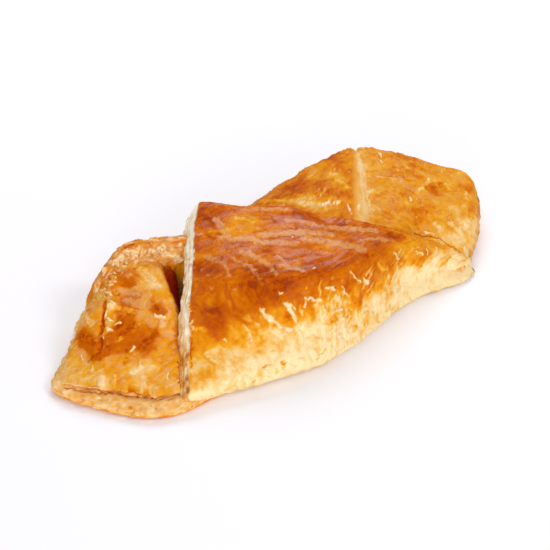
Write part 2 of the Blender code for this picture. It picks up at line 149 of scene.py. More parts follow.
OPEN_PATCHES = [
    (-47.0, 17.6, 19.0, 4.6, 0.24), (-50.1, 8.2, 17.5, 4.5, 0.26), (-42.1, 11.2, 19.3, 4.5, -0.10),
    (-46.1, 1.4, 16.9, 3.0, 0.30), (-55.5, 4.3, 14.9, 3.6, 0.36), (-55.8, -3.9, 11.5, 5.0, 0.26),
    (-67.6, 3.8, 10.2, 5.0, 0.36), (-67.2, 9.5, 9.8, 3.6, 0.30), (-61.0, 1.0, 12.2, 4.0, 0.24),
    (-72.4, -7.5, 7.1, 3.0, -0.16), (-61.3, -10.6, 8.3, 3.2, -0.16), (-54.9, -15.8, 7.6, 2.5, 0.02),
    (-59.7, 12.6, 15.9, 2.5, -0.1), (-44.0, 24.0, 19.5, 4.0, 0.1),
]
# Patches of the open corner drawn in the pale colour of bare layers, partly flaky dough and partly painted sheen:
# centre (x, y, z), radius and how strong
OPEN_BARE_AND_SHEEN = [
    (-49.0, 6.0, 17.3, 3.6, 0.45), (-46.5, 1.5, 16.9, 3.5, 0.5), (-47.5, -3.5, 14.5, 3.2, 0.4),
    (-44.0, 20.0, 20.0, 3.5, 0.3), (-45.0, 12.0, 19.0, 3.0, 0.2), (-40.0, 24.0, 20.5, 4.0, 0.4),
]
SHUT_PATCHES = [
    (60.2, 12.9, 22.0, 5.0, 0.10), (65.2, 3.3, 18.8, 4.0, 0.12), (63.6, -6.0, 16.1, 4.0, -0.14),
    (48.7, -7.9, 18.7, 5.0, 0.12), (76.3, -7.2, 11.1, 4.0, 0.24), (80.0, 0.0, 12.4, 4.0, 0.22),
    (76.0, 12.9, 18.2, 4.0, 0.04), (52.0, 12.0, 22.5, 4.0, 0.1), (70.0, 22.0, 20.5, 5.0, 0.1),
    (56.1, -21.0, 6.0, 4.0, 0.1), (45.0, 8.0, 22.5, 3.0, -0.12), (68.0, -13.0, 10.0, 4.0, -0.1),

]

# Single wrinkles with painted glints, paler flakes, browner streaks, streaks of painted sheen in the colour of bare
# layers, and dark lines along cracks, creases and seams, by kind: start and end (x, y, z) and half width
STROKES = {
    # Painted glints: glossy wrinkles drawn pale cream
    "glint": [
        (-25.8, -23.3, 21.0, -25.3, -25.0, 19.5, 0.8), (-25.3, -25.0, 19.5, -23.9, -27.0, 18.2, 0.7),
        (-24.0, -27.1, 17.9, -22.6, -28.8, 16.1, 0.45), (-23.7, -29.3, 14.6, -22.1, -30.1, 14.4, 0.5),
        (-21.2, -29.5, 15.9, -20.3, -30.2, 15.2, 0.6), (-19.2, -26.3, 22.0, -18.3, -27.6, 20.9, 0.8),
        (-18.3, -27.6, 20.9, -17.8, -30.0, 17.2, 0.5), (-18.3, -26.6, 22.1, -16.7, -28.5, 20.3, 0.35),
        (-12.9, -28.1, 22.1, -8.9, -29.3, 21.1, 0.6), (-8.9, -29.3, 21.1, -8.1, -29.8, 20.3, 0.5),
        (-8.2, -30.4, 18.8, -7.8, -30.8, 17.5, 0.7), (-13.0, -28.6, 21.4, -14.0, -29.4, 20.0, 0.45),
        (-5.2, -28.0, 23.2, -2.7, -28.8, 22.2, 0.35), (-2.4, -28.8, 22.1, -2.1, -29.0, 21.7, 0.6),
        (0.7, -28.9, 21.3, 2.1, -29.7, 17.8, 0.4), (10.2, -28.0, 19.5, 11.3, -28.2, 17.7, 0.7),
        (-2.6, -29.7, 20.5, -1.5, -30.3, 17.8, 0.35), (-4.9, -31.2, 16.1, -0.8, -30.9, 14.6, 0.5),
        (-18.8, -23.4, 24.6, -18.7, -23.8, 24.4, 0.5), (-31.3, -25.0, 15.5, -31.8, -26.1, 13.8, 0.6),
        (-38.2, -21.3, 14.3, -38.0, -22.0, 13.8, 0.5), (26.7, -22.8, 20.2, 27.5, -23.5, 18.4, 0.7),
        (36.6, -21.8, 16.2, 39.1, -21.9, 14.5, 0.35), (42.2, -20.8, 14.7, 41.8, -21.8, 13.4, 0.4),
        (47.2, -20.1, 12.7, 46.8, -21.1, 12.3, 0.4), (5.4, -27.0, 23.5, 8.0, -28.2, 19.8, 0.45),
        (61.4, 24.6, 22.8, 60.3, 22.8, 22.8, 0.6), (58.6, 20.8, 22.8, 57.7, 19.2, 22.7, 0.5),
        (52.5, -1.0, 20.5, 51.7, -2.4, 20.3, 0.6), (60.2, -20.1, 8.1, 59.7, -20.7, 7.4, 0.7),
        (47.5, -14.3, 15.8, 50.5, -15.4, 14.4, 0.4), (-54.2, 18.0, 17.7, -54.0, 15.4, 17.9, 0.6),
        (-55.7, 12.9, 17.4, -55.5, 10.6, 17.0, 0.6), (-58.5, 10.5, 16.2, -59.5, 9.6, 15.6, 0.4),
        (-59.6, 8.9, 15.3, -59.2, 6.9, 14.7, 0.5), (-61.7, 6.0, 13.4, -61.1, 4.7, 13.1, 0.6),
        (-59.0, 5.6, 14.3, -57.2, 5.0, 14.6, 0.4), (-63.2, 5.4, 12.6, -64.3, 4.3, 11.8, 0.25),
        (-43.7, 22.2, 21.9, -46.3, 23.8, 21.4, 0.5), (-46.8, 24.2, 21.5, -44.6, 24.6, 22.9, 0.4),
        (-48.1, -0.3, 15.8, -46.3, -1.9, 15.5, 0.8), (-58.2, -3.2, 11.1, -59.8, -4.3, 10.3, 0.6),
        (-71.3, 5.9, 8.1, -72.1, 4.2, 7.6, 0.25), (-55.9, -16.8, 7.2, -56.7, -18.3, 6.6, 0.5),
        (-26.1, 13.9, 24.7, -29.9, 7.6, 23.9, 0.8), (-33.2, 4.1, 22.2, -34.9, 1.8, 21.6, 0.6),
        (-40.3, -6.2, 19.3, -41.1, -8.2, 18.9, 0.5), (-38.1, -3.1, 20.8, -39.4, -5.4, 20.0, 0.35),
        (-42.6, -10.8, 17.7, -43.8, -13.0, 16.2, 0.35), (20.2, 4.9, 26.6, 24.7, 5.3, 26.6, 0.6),
        (24.7, 5.3, 26.6, 27.9, 1.7, 26.0, 0.4), (27.9, 1.7, 26.0, 25.5, -3.7, 25.7, 0.4),
        (33.1, 1.4, 24.6, 31.1, -1.0, 24.6, 0.5), (24.1, 10.7, 26.6, 23.9, 10.0, 26.6, 0.5),
        (-5.6, -22.7, 27.1, -5.0, -22.9, 27.0, 0.4), (-1.8, -7.7, 29.3, -1.3, -7.9, 29.2, 0.45),
        (-32.1, -32.8, 6.8, -31.7, -33.2, 6.1, 0.5), (-75.9, -10.4, 3.8, -75.9, -10.9, 3.7, 0.4),
    ],
    "pale": [
        (54.5, 28.0, 23.3, 37.0, 2.5, 23.6, 0.5), (56.5, 30.5, 22.5, 46.0, 14.5, 23.0, 0.35),
        (-17.8, -31.9, 13.5, -18.7, -34.0, 10.4, 0.9), (2.0, -31.4, 11.1, -1.4, -32.7, 10.3, 0.8),
        (12.5, -30.6, 7.4, 12.7, -30.8, 6.6, 0.6), (-7.0, -33.3, 11.1, 1.0, -31.2, 12.2, 0.45),
        (-15.2, -28.5, 21.1, -15.6, -30.0, 18.5, 0.4), (-44.2, -20.9, 11.6, -43.8, -23.8, 10.2, 0.7),
        (-42.0, -14.5, 16.6, -40.8, -16.4, 16.3, 0.6), (-43.2, -13.7, 16.2, -41.0, -16.2, 16.3, 0.5),
        (-44.0, -20.7, 11.8, -44.1, -21.3, 11.4, 0.7), (18.4, -25.4, 20.7, 20.2, -25.8, 18.0, 0.9),
        (27.2, -24.0, 16.9, 28.2, -24.5, 12.3, 0.5), (21.3, -25.5, 18.2, 22.4, -25.9, 14.2, 0.6),
        (29.6, -23.6, 15.4, 30.9, -23.7, 12.6, 0.4), (54.0, -12.3, 15.4, 54.8, -13.4, 14.5, 1.2),
        (60.5, -13.1, 13.3, 62.0, -16.4, 10.9, 1.5), (64.5, 15.8, 21.8, 64.2, 13.4, 21.4, 1.2),
        (60.0, 14.2, 22.2, 59.9, 13.6, 22.1, 1), (72.4, 3.2, 16.6, 72.5, 1.3, 15.9, 1.3),
        (77.4, -1.4, 13.8, 75.3, -3.6, 13.7, 0.7), (51.0, 13.9, 22.0, 55.2, 9.6, 21.8, 0.6),
        (57.7, 1.4, 19.7, 67.7, 6.1, 18.9, 0.7), (35.0, 15.3, 26.1, 35.1, 9.4, 25.7, 1.2),
        (36.2, 19.9, 26.2, 37.5, 18.4, 26.0, 0.8), (9.9, 12.3, 26.5, 13.7, 12.0, 26.4, 0.7),
        (8.1, 20.4, 25.2, 20.2, 4.9, 26.6, 1.8), (-59.7, -8.3, 9.2, -61.3, -11.1, 8.2, 0.7),
        (-61.3, -11.1, 8.2, -64.6, -10.6, 7.6, 0.7), (-72.0, -6.4, 7.3, -73.9, -9.1, 6.5, 1.3),
        (-68.5, -8.0, 7.5, -70.0, -10.2, 6.8, 0.6), (-62.0, -14.1, 7.3, -64.4, -17.0, 6.4, 1.2),
        (-71.9, -1.0, 7.9, -72.8, -2.2, 7.5, 0.6), (-61.9, 16.7, 12.8, -63.8, 10.9, 13.1, 1.2),
        (-59.4, 1.4, 12.3, -60.7, 0.5, 11.6, 0.5), (-46.7, 23.4, 20.7, -41.3, 20.5, 20.4, 1),
        (-40.7, 17.5, 20.2, -41.4, 9.5, 19.2, 2), (-57.0, 11.0, 16.7, -52.7, 5.7, 16.3, 1.3),
        (-29.8, 17.2, 24.5, -29.7, 15.9, 22.2, 1), (-74.3, -14.7, 3.4, -72.1, -15.6, 3.7, 0.8),
        (-67.2, -21.4, 3.7, -65.6, -25.3, 3.5, 1.3), (-20.1, 10.4, 29.6, -17.0, 7.9, 30.0, 1),
        (31.3, -14.1, 23.0, 34.9, -15.7, 21.3, 0.5), (-9.7, 9.9, 31.3, -6.5, 4.9, 31.0, 0.9),
    ],
    "dark": [
        (2.6, 3.5, 30.9, 12.0, -0.3, 29.2, 0.6), (10.6, -1.0, 29.3, 14.4, -4.3, 28.0, 0.6),
        (14.5, -6.1, 27.7, 22.9, -10.8, 25.7, 0.45), (28.4, -6.2, 22.9, 31.3, -14.1, 23.0, 0.5),
        (-11.1, 2.9, 30.5, -9.9, -0.0, 30.4, 0.4), (-1.0, 5.0, 31.1, -1.0, 0.9, 30.6, 0.5),
        (-0.7, -3.8, 29.8, 4.7, -5.3, 29.2, 0.35), (28.5, -16.9, 22.9, 33.8, -17.5, 20.8, 0.8),
        (-17.4, 18.9, 31.0, -16.7, 11.9, 30.5, 1.5), (-21.6, 9.5, 29.1, -20.4, 6.3, 29.1, 0.6),
        (12.7, -23.0, 25.1, 17.2, -23.4, 23.5, 1.2), (-18.5, -27.9, 20.4, -20.9, -28.6, 17.8, 1.5),
        (4.0, -29.3, 18.6, 5.2, -29.9, 14.5, 1.4), (15.7, -29.7, 7.4, 15.7, -30.2, 5.8, 1),
        (0.9, -32.9, 8.7, 5.6, -32.5, 6.8, 0.7), (-8.5, -32.3, 13.4, -3.6, -31.9, 13.0, 0.8),
        (67.5, 15.1, 21.0, 70.3, 10.6, 19.4, 1.8), (64.0, 2.0, 18.7, 71.4, 4.2, 17.3, 1.8),
        (50.6, 1.8, 21.7, 52.9, -0.6, 20.5, 1.2), (53.8, -7.6, 17.8, 53.8, -8.0, 17.6, 0.9),
        (74.9, -6.2, 12.8, 68.5, -14.2, 10.5, 1.3), (47.5, -9.3, 18.3, 46.7, -12.8, 16.9, 1),
        (31.0, 7.9, 26.1, 32.1, 5.7, 25.9, 1.5), (27.4, 9.7, 26.5, 28.7, 6.2, 26.2, 1.5),
        (12.3, 19.0, 25.8, 20.2, 16.0, 26.2, 1.5), (26.3, 8.8, 26.6, 31.9, 5.0, 25.9, 1.8),
        (-48.9, 22.3, 19.2, -43.2, 19.3, 19.9, 1.6), (-51.6, 17.4, 18.4, -52.7, 13.6, 17.9, 1.5),
        (-56.4, 6.6, 15.5, -52.2, 4.8, 16.2, 0.6), (-56.1, 4.5, 14.8, -59.8, 4.4, 13.5, 0.9),
        (-53.9, 1.3, 14.4, -59.5, 2.3, 12.7, 1.1), (-45.4, 4.4, 18.0, -46.7, 1.1, 16.7, 0.9),
        (-56.4, -4.7, 11.1, -51.6, -4.6, 12.7, 1.8), (-67.8, 11.8, 9.9, -66.3, 5.6, 11.2, 2.2),
        (-70.9, 2.1, 8.2, -69.3, 1.3, 9.1, 1.4), (-67.2, 2.3, 10.1, -69.1, -1.1, 8.9, 0.9),
        (-64.5, 1.9, 11.0, -64.8, -0.0, 10.4, 1), (-60.8, -3.1, 10.4, -64.1, -7.4, 8.4, 0.8),
        (-34.3, 21.4, 26.0, -34.5, 20.7, 24.9, 1), (-38.3, 23.4, 25.1, -41.5, 24.7, 24.6, 0.8),
        (-31.3, 5.1, 24.2, -31.0, 3.4, 25.4, 0.8), (-71.0, -19.2, 3.4, -70.4, -21.9, 2.6, 0.9),
    ],
    # Streaks of painted sheen, drawn in the pale colour of bare layers
    "tan": [
        (-26.7, 3.6, 27.2, -25.5, -4.6, 27.2, 0.9), (-25.3, -4.3, 27.4, -26.9, -9.0, 26.1, 0.6),
        (-22.3, -2.8, 28.3, -20.3, -13.2, 27.7, 0.6), (-20.9, -12.4, 27.6, -21.1, -17.1, 26.5, 0.4),
        (-18.7, -4.0, 28.9, -15.7, -14.5, 28.4, 0.9), (-16.7, -6.0, 29.2, -16.4, -18.9, 27.3, 0.7),
        (-13.5, -16.6, 28.2, -8.9, -22.5, 27.3, 0.9), (-11.4, -12.5, 28.9, -10.8, -18.0, 28.2, 0.6),
        (-15.2, 13.4, 31.0, -17.3, 2.4, 29.5, 1.4), (-19.5, 6.0, 29.3, -10.5, -3.9, 30.0, 1.4),
        (-6.0, 12.2, 31.8, 5.6, 4.2, 30.8, 0.8), (-12.3, -3.8, 29.9, -2.3, -10.8, 28.8, 1.2),
        (-8.7, -1.5, 30.3, 10.5, -11.1, 27.7, 1.8), (1.2, -10.3, 28.7, 15.3, -20.8, 25.1, 2),
        (13.3, -8.1, 27.7, 26.4, -14.0, 24.1, 1.5), (2.4, 0.2, 30.3, 11.8, -6.9, 28.0, 0.9),
        (18.4, -17.0, 25.3, 27.5, -18.6, 22.6, 0.7), (56.9, -1.0, 19.2, 64.2, -2.8, 17.0, 0.7),
        (57.1, 9.3, 21.6, 56.9, 3.5, 20.6, 1.5), (-74.3, 10.6, 4.5, -76.3, 8.0, 4.7, 0.4),
        (-50.2, 14.6, 18.2, -45.9, 7.3, 18.5, 1.8), (-51.5, 10.0, 17.5, -48.1, 4.2, 17.4, 1.8),
        (-51.1, 3.8, 16.3, -50.6, -1.8, 14.3, 1.3), (-30.9, 18.8, 25.6, -29.3, 16.4, 23.6, 1.6),
        (-38.6, 20.4, 21.6, -34.6, 18.2, 21.1, 1.5), (-33.6, 17.0, 20.6, -33.1, 14.4, 19.9, 1.2),
        (-47.9, 26.1, 20.2, -52.3, 26.4, 16.2, 1.3), (-53.4, 26.7, 14.7, -52.0, 24.0, 17.7, 1),
        (-24.1, 13.4, 27.8, -22.6, 11.2, 29.0, 0.5), (-30.8, 0.0, 25.2, -30.8, -0.5, 25.1, 0.4),
        (-32.9, -6.9, 23.5, -32.9, -7.9, 23.3, 0.35), (-28.5, -13.1, 24.2, -28.3, -13.7, 24.1, 0.4),
        (-30.9, -3.1, 25.0, -30.9, -3.7, 25.0, 0.4), (-30.4, 0.1, 25.4, -30.0, -0.4, 25.5, 0.4),
        (38.3, 1.9, 21.7, 34.1, -3.0, 21.1, 0.5),
    ],
    "line": [
        (-15.2, -36.4, 5.8, -10.9, -35.8, 7.5, 0.35), (-32.3, -32.1, 8.0, -29.9, -32.8, 8.0, 0.3),
        (-26.4, -34.1, 7.9, -24.9, -34.6, 7.9, 0.25), (-56.1, 14.6, 17.4, -58.9, 11.4, 16.2, 0.35),
        (-58.9, 11.4, 16.2, -62.1, 8.0, 13.9, 0.35), (-62.1, 8.0, 13.9, -64.6, 5.5, 12.0, 0.35),
        (43.2, -14.2, 16.7, 52.0, -16.7, 13.0, 0.3), (52.0, -16.7, 13.0, 55.9, -19.9, 9.2, 0.35),
        (55.9, -19.9, 9.2, 60.1, -22.9, 4.5, 0.35), (-27.0, 14.9, 22.0, -35.7, 3.4, 20.0, 0.3),
        (-45.4, -14.1, 14.5, -50.5, -21.4, 9.3, 0.3), (-50.5, -14.8, 8.1, -55.2, -22.3, 5.7, 0.3),
        (-81.8, 0.6, 3.7, -75.8, -8.0, 4.2, 0.4), (-75.8, -8.0, 4.2, -68.1, -16.2, 5.8, 0.4),
        (-68.1, -16.2, 5.8, -63.2, -21.8, 4.3, 0.4), (-63.2, -21.8, 4.3, -59.0, -25.0, 3.9, 0.4),
    ],
}


# Crumbs and loose flakes on the cut edges and along the foot, each row a line that they lie along:
# from, to, how many, smallest and largest half width, how far they stray, how thin, bare and brown
CRUMB_LINES = [
    ((-29.0, 18.0, 23.5), (-42.0, 24.0, 22.0), 70, 0.2, 0.65, 2.2, 0.4, 0.9, 0.4),
    ((-42.0, 24.0, 22.0), (-54.0, 21.5, 13.5), 60, 0.2, 0.65, 2.0, 0.4, 0.9, 0.4),
    ((-50.5, -19.0, 8.0), (-34.0, 4.0, 20.0), 14, 0.12, 0.35, 1.2, 0.4, 1.0, 0.3),
    ((-34.0, 4.0, 20.0), (-19.0, 20.5, 27.0), 12, 0.12, 0.35, 1.0, 0.4, 1.0, 0.3),
    ((-73.0, -19.5, 2.6), (-60.0, -26.5, 2.6), 9, 0.2, 0.7, 1.6, 0.35, 0.6, 0.4),
    ((-81.0, 1.0, 4.2), (-57.0, -25.0, 4.6), 24, 0.1, 0.3, 0.7, 0.5, 0.7, 0.5),
    ((-52.0, -29.0, 3.0), (-30.0, -31.5, 3.0), 26, 0.15, 0.45, 0.9, 0.5, 0.7, 0.25),
]
CRUMB_SEED = 12


def curve(points, places):
    """A Catmull-Rom curve through rows of numbers, at places along its index."""
    points = np.array(points, float)
    last = len(points) - 1
    padded = np.vstack([2 * points[0] - points[1], points, 2 * points[last] - points[last - 1]])
    i = np.clip(np.floor(places).astype(int), 0, last - 1)
    t = (places - i)[:, None]
    a, b, c, d = padded[i], padded[i + 1], padded[i + 2], padded[i + 3]
    return 0.5 * (2 * b + (c - a) * t + (2 * a - 5 * b + 4 * c - d) * t**2 + (3 * b - a - 3 * c + d) * t**3)


def broken_line(points, count):
    """Rows of numbers at even steps along straight runs between the given rows."""
    points = np.array(points, float)
    places = np.linspace(0, len(points) - 1, count)
    return np.column_stack([np.interp(places, np.arange(len(points)), column) for column in points.T])


def mix(low, high, share):
    """From low at share 0 to high at share 1."""
    return low + (high - low) * share


def smooth(low, high, value):
    """A soft step from 0 at low to 1 at high."""
    t = np.clip((value - low) / (high - low), 0.0, 1.0)
    return t * t * (3.0 - 2.0 * t)


def lumps(points, size, shift=0.0):
    """Soft noise from about -1 to 1 at each point, with lumps of the given size in mm."""
    flat = (points.reshape(-1, 3) / size + shift).tolist()
    return np.array([noise.noise(p) for p in flat]).reshape(points.shape[:-1]) * 1.6


def grain(a, b, turn, length, width, shift=0.0):
    """Soft noise drawn out along a direction of the sheet: mm along it and mm across it."""
    along = (a * math.cos(turn) + b * math.sin(turn)) / length
    across = (b * math.cos(turn) - a * math.sin(turn)) / width
    return lumps(np.stack([along, across, np.full_like(a, shift)], -1), 1.0)


def swell(points):
    """The broad swells that baking gives the dough."""
    noise.seed_set(BAKE_SEED)
    flat = points.reshape(-1, 3)
    push = np.array([
        0.9 * noise.noise_vector(Vector(p) / 21.0) + 0.45 * noise.noise_vector(Vector(p) / 8.0 + Vector((7.3, 1.9, 4.1)))
        for p in flat.tolist()
    ]).reshape(points.shape)
    moved = points + push * np.clip(points[..., 2:] / 4.0, 0.0, 1.0)
    moved[..., 2] = np.maximum(moved[..., 2], 0.0)
    return moved


def normals(points):
    """Unit normals, pointing out, of a grid of points whose rows are rings round a body."""
    normal = np.cross(np.gradient(points, axis=0), np.gradient(points, axis=1))
    normal /= np.linalg.norm(normal, axis=-1, keepdims=True) + 1e-9
    top = points[..., 2] > 0.8 * points[..., 2].max()
    return normal * np.sign(normal[top][:, 2].mean())


def lengths(points, axis):
    """Distance in mm along the rows or the columns of a grid of points."""
    steps = np.linalg.norm(np.diff(points, axis=axis), axis=-1)
    start = np.zeros_like(steps[:1] if axis == 0 else steps[:, :1])
    return np.concatenate([start, steps.cumsum(axis=axis)], axis=axis)


def flakes(a, b, turn, length, width, seed):
    """The surface layer broken into flakes: a random tone from -1 to 1 for each, and how far its rim is."""
    u = (a * math.cos(turn) + b * math.sin(turn)) / length
    v = (b * math.cos(turn) - a * math.sin(turn)) / width
    draws = np.random.RandomState(seed).rand(61, 67, 3)
    best, second, tone = np.full(a.shape, 9.0), np.full(a.shape, 9.0), np.zeros(a.shape)
    for i in (-1, 0, 1):
        for j in (-1, 0, 1):
            row, column = np.floor(u).astype(int) + i, np.floor(v).astype(int) + j
            drawn = draws[row % 61, column % 67]
            away = np.hypot(row + drawn[..., 0] - u, column + drawn[..., 1] - v)
            second = np.where(away < best, best, np.minimum(second, away))
            tone = np.where(away < best, drawn[..., 2], tone)
            best = np.minimum(best, away)
    return 2.0 * tone - 1.0, second - best


def layered(share, run, layers, seed):
    """Baked layers of a cut edge: how far each stands out in mm, and how pale it is."""
    phase = share * layers + 0.5 * lumps(np.stack([run / 9.0, share, np.full_like(run, seed)], -1), 1.0)
    layer = np.floor(phase)
    groove = 1.0 - np.sqrt(np.clip(1.0 - np.abs(2.0 * (phase - layer) - 1.0), 0, 1))
    coarse = lumps(np.stack([run / 4.0, layer * 3.7, np.full_like(run, seed + 4.0)], -1), 1.0)
    fine = lumps(np.stack([run / 2.4, phase * 2.2, np.full_like(run, seed + 9.0)], -1), 1.0)
    broken = smooth(-0.1, 0.5, lumps(np.stack([run / 2.6, layer * 2.3, np.full_like(run, seed + 14.0)], -1), 1.0))
    out = 0.4 * coarse + 0.35 * fine - 0.5 * groove * broken
    tone = 0.62 + 0.16 * coarse + 0.22 * fine - 0.5 * groove * broken
    return out, tone


def pressed(relief, a, b, marks):
    """Add small bumps or dents: rows of place along and across, length, width, turn and height."""
    for a0, b0, length, width, turn, height in marks:
        near = (np.abs(a - a0) < length) & (np.abs(b - b0) < length)
        da, db = a[near] - a0, b[near] - b0
        u = (da * math.cos(turn) + db * math.sin(turn)) / length
        v = (db * math.cos(turn) - da * math.sin(turn)) / width
        relief[near] += height * np.clip(1.0 - u * u - v * v, 0.0, 1.0) ** 1.5
    return relief


def dabbed(a, b, marks):
    """How near each point is to the crest of a mark, from 0 to 1."""
    crest = np.zeros_like(a)
    for a0, b0, length, width, turn, _ in marks:
        near = (np.abs(a - a0) < length) & (np.abs(b - b0) < length)
        da, db = a[near] - a0, b[near] - b0
        u = (da * math.cos(turn) + db * math.sin(turn)) / length
        v = (db * math.cos(turn) - da * math.sin(turn)) / width
        crest[near] = np.maximum(crest[near], np.clip(1.0 - u * u - v * v, 0.0, 1.0))
    return crest


def strewn(weight, a, b, count, size, seed):
    """Random marks on a sheet, more of them where the weight is larger."""
    draw = np.random.RandomState(seed)
    share = np.clip(weight, 0, None).ravel()
    chosen = draw.choice(share.size, count, p=share / share.sum())
    (low_l, high_l), (low_w, high_w), (low_t, high_t), (low_h, high_h) = size
    return np.column_stack([
        a.ravel()[chosen], b.ravel()[chosen], draw.uniform(low_l, high_l, count), draw.uniform(low_w, high_w, count),
        draw.uniform(low_t, high_t, count), draw.uniform(low_h, high_h, count),
    ])


def patched(points, value, patches):
    """Add the browner and paler patches of a table to the browning."""
    warp = np.stack([lumps(points, 4.0, 3.0), lumps(points, 4.0, 11.0), lumps(points, 4.0, 19.0)], -1)
    ragged = points + 1.6 * warp
    for x, y, z, radius, amount in patches:
        away = np.linalg.norm(ragged - np.array((x, y, z)), axis=-1) / radius
        value = value + amount * (1.0 - smooth(0.35, 1.35, away))
    return value


def stroked(points, normal, kind):
    """How near each point is to the middle of the strokes of a kind, from 0 to 1."""
    ragged = points + 0.5 * np.stack([lumps(points, 1.3, 103.0), lumps(points, 1.3, 111.0), lumps(points, 1.3, 119.0)], -1)
    crest = np.zeros(points.shape[:-1])
    for x0, y0, z0, x1, y1, z1, half in STROKES[kind]:
        start, way = np.array((x0, y0, z0)), np.array((x1 - x0, y1 - y0, z1 - z0))
        reach = 0.5 * np.linalg.norm(way) + 3.0
        near = np.abs(points - start - 0.5 * way).max(axis=-1) < reach
        from_start = ragged[near] - start
        share = np.clip(from_start @ way / max(way @ way, 1e-6), 0.0, 1.0)
        off = from_start - share[:, None] * way
        depth = (off * normal[near]).sum(axis=-1)
        away = np.linalg.norm(off - depth[:, None] * normal[near], axis=-1) / half
        crest[near] = np.maximum(crest[near], np.clip(1.0 - away**2, 0.0, 1.0) * (np.abs(depth) < 2.5))
    return crest


def finished(points, normal, relief, bake, bare, tone, wet):
    """Add the single wrinkles with their painted glints, the flakes, the browner streaks, the streaks of painted sheen
    and the cracks, and give the final points and marks.
    """
    glint, pale, dark, tan, line = (smooth(0.0, 0.9, stroked(points, normal, kind)) for kind in STROKES)
    broken = smooth(-0.7, 0.3, lumps(points, 0.9, 107.0))
    tan, pale = smooth(0.0, 0.7, tan) * (0.35 + 0.65 * broken), pale * (0.5 + 0.5 * broken)
    relief = relief + 0.4 * glint + 0.2 * pale + 0.1 * tan - 0.3 * line
    bake = mix(bake, np.maximum(bake - 0.24, 0.04), pale)
    bake = np.maximum(bake, np.minimum(bake + 0.15 * dark * broken, 0.82))
    bake = mix(bake, np.minimum(bake + 0.35, 0.74), line)
    # Painted glints: the glint strokes are drawn pale cream, on top of their relief and gloss
    bake = mix(bake, np.minimum(bake, 0.16), glint)
    bare = bare * (1.0 - 0.8 * line) * (1.0 - 0.6 * dark)
    # Strokes of painted sheen are drawn in the colour of bare layers, with some gloss
    bare = np.maximum(np.maximum(bare, 0.55 * tan), 0.6 * glint * broken)
    tone = mix(mix(tone, 0.4, tan), 0.9, glint)
    wet = np.maximum(np.maximum(wet * (1.0 - 0.9 * dark) * (1.0 - line), 0.3 * tan), glint)
    marks = {"bake": bake, "bare": bare, "tone": tone, "wet": wet}
    return points + normal * relief[..., None], marks


def beside(points, path):
    """How far in mm each point is from a path on the plan, above 0 to the left of it, and its place along."""
    path = np.array(path, float)
    best = np.full(points.shape[:-1], 1e9)
    side, place = np.zeros_like(best), np.zeros_like(best)
    for i, (start, end) in enumerate(zip(path[:-1], path[1:])):
        way = end - start
        from_start = points[..., :2] - start
        t = np.clip(from_start @ way / (way @ way), 0.0, 1.0)
        away = np.linalg.norm(from_start - t[..., None] * way, axis=-1)
        turn = way[0] * from_start[..., 1] - way[1] * from_start[..., 0]
        near = away < best
        best = np.where(near, away, best)
        side = np.where(near, np.sign(turn) * away, side)
        place = np.where(near, i + t, place)
    return side, place / (len(path) - 1)


def rounded(share, at_start, at_end, reach):
    """How far the side of a pillow has rolled down, from 0 in its middle to the amounts at its sides."""
    start = np.clip(1.0 - share / reach, 0, None)
    end = np.clip(1.0 - (1.0 - share) / reach, 0, None)
    return at_start * (1.0 - np.sqrt(1.0 - start**2)) + at_end * (1.0 - np.sqrt(1.0 - end**2))


def flap_skin(feet, edges, fullness, height, layers, cut_side, back_drop, rows, columns, cut_rows, wall_rows):
    """The skin of a folded flap, ring by ring from under its cut side to its end in the fold.

    Returns the points, the share of the way up the outer face, and the shares down the cut side and the edge.
    """
    made = bpy.context.scene.pastry
    sheet, belly_size = made.sheet_thickness / MM, made.belly / MM
    floor, inset = 0.9, 2.5
    stations = np.linspace(0, len(feet) - 1, rows)
    feet, edges = curve(feet, stations), curve(edges, stations)
    full = curve([(f, f) for f in fullness], stations)[:, 0]
    cut = broken_line(layers, cut_rows)
    wall = broken_line(layers[::-1], wall_rows)
    dropping = np.ones(columns + wall_rows + 5)
    dropping[:columns] = back_drop + (1.0 - back_drop) * smooth(0.35, 0.65, np.linspace(0, 1, columns))
    rings, downs = [], []
    for out, down, i in [(o, d, 0) for o, d in cut] + [(0.0, 0.0, i) for i in range(rows)]:
        along = edges[i, :2] - feet[i]
        length = np.linalg.norm(along)
        along = along / length
        side = np.array([-along[1], along[0]])
        f, z = full[i], edges[i, 2] * height
        belly = belly_size * (0.2 + 0.8 * f)
        controls = [
            (inset, floor), (-0.75 * belly, 0.07 * z), (-belly, 0.22 * z),
            ((0.15 - 0.145 * f) * length, (0.34 + 0.16 * f) * z), ((0.35 - 0.26 * f) * length, (0.60 + 0.23 * f) * z),
            ((0.63 - 0.36 * f) * length, (0.83 + 0.145 * f) * z), (length, z),
        ]
        face = curve(controls, np.linspace(0, 6, columns))
        edge = np.column_stack([length + 0.9 * wall[:, 0], z - wall[:, 1] * min(sheet, 0.7 * z)])
        end, low = edge[-1]
        under = [(end, 0.35 * low), (end, floor), (0.66 * end, floor), (0.33 * end, floor), (inset, floor)]
        flat = np.vstack([face, edge, under])
        shift = cut_side * out * np.minimum(1.0, flat[:, 1] / 3.0)
        xy = feet[i] + along * flat[:, :1] + side * shift[:, None]
        lower = np.maximum(floor, flat[:, 1] - down * sheet * np.minimum(1.0, flat[:, 1] / 12.0) * dropping)
        rings.append(np.column_stack([xy, lower]))
        downs.append(down)
    points = swell(np.array(rings))
    points[:, -1] = points[:, 0]
    count = len(rings)
    face = np.concatenate([np.linspace(0, 1, columns), np.ones(wall_rows), np.full(5, -1.0)])
    down_wall = np.concatenate([np.zeros(columns), wall[:, 1], np.full(5, 1.3)])
    return points, np.tile(face, (count, 1)), np.repeat(np.array(downs)[:, None], len(face), 1), np.tile(down_wall, (count, 1))


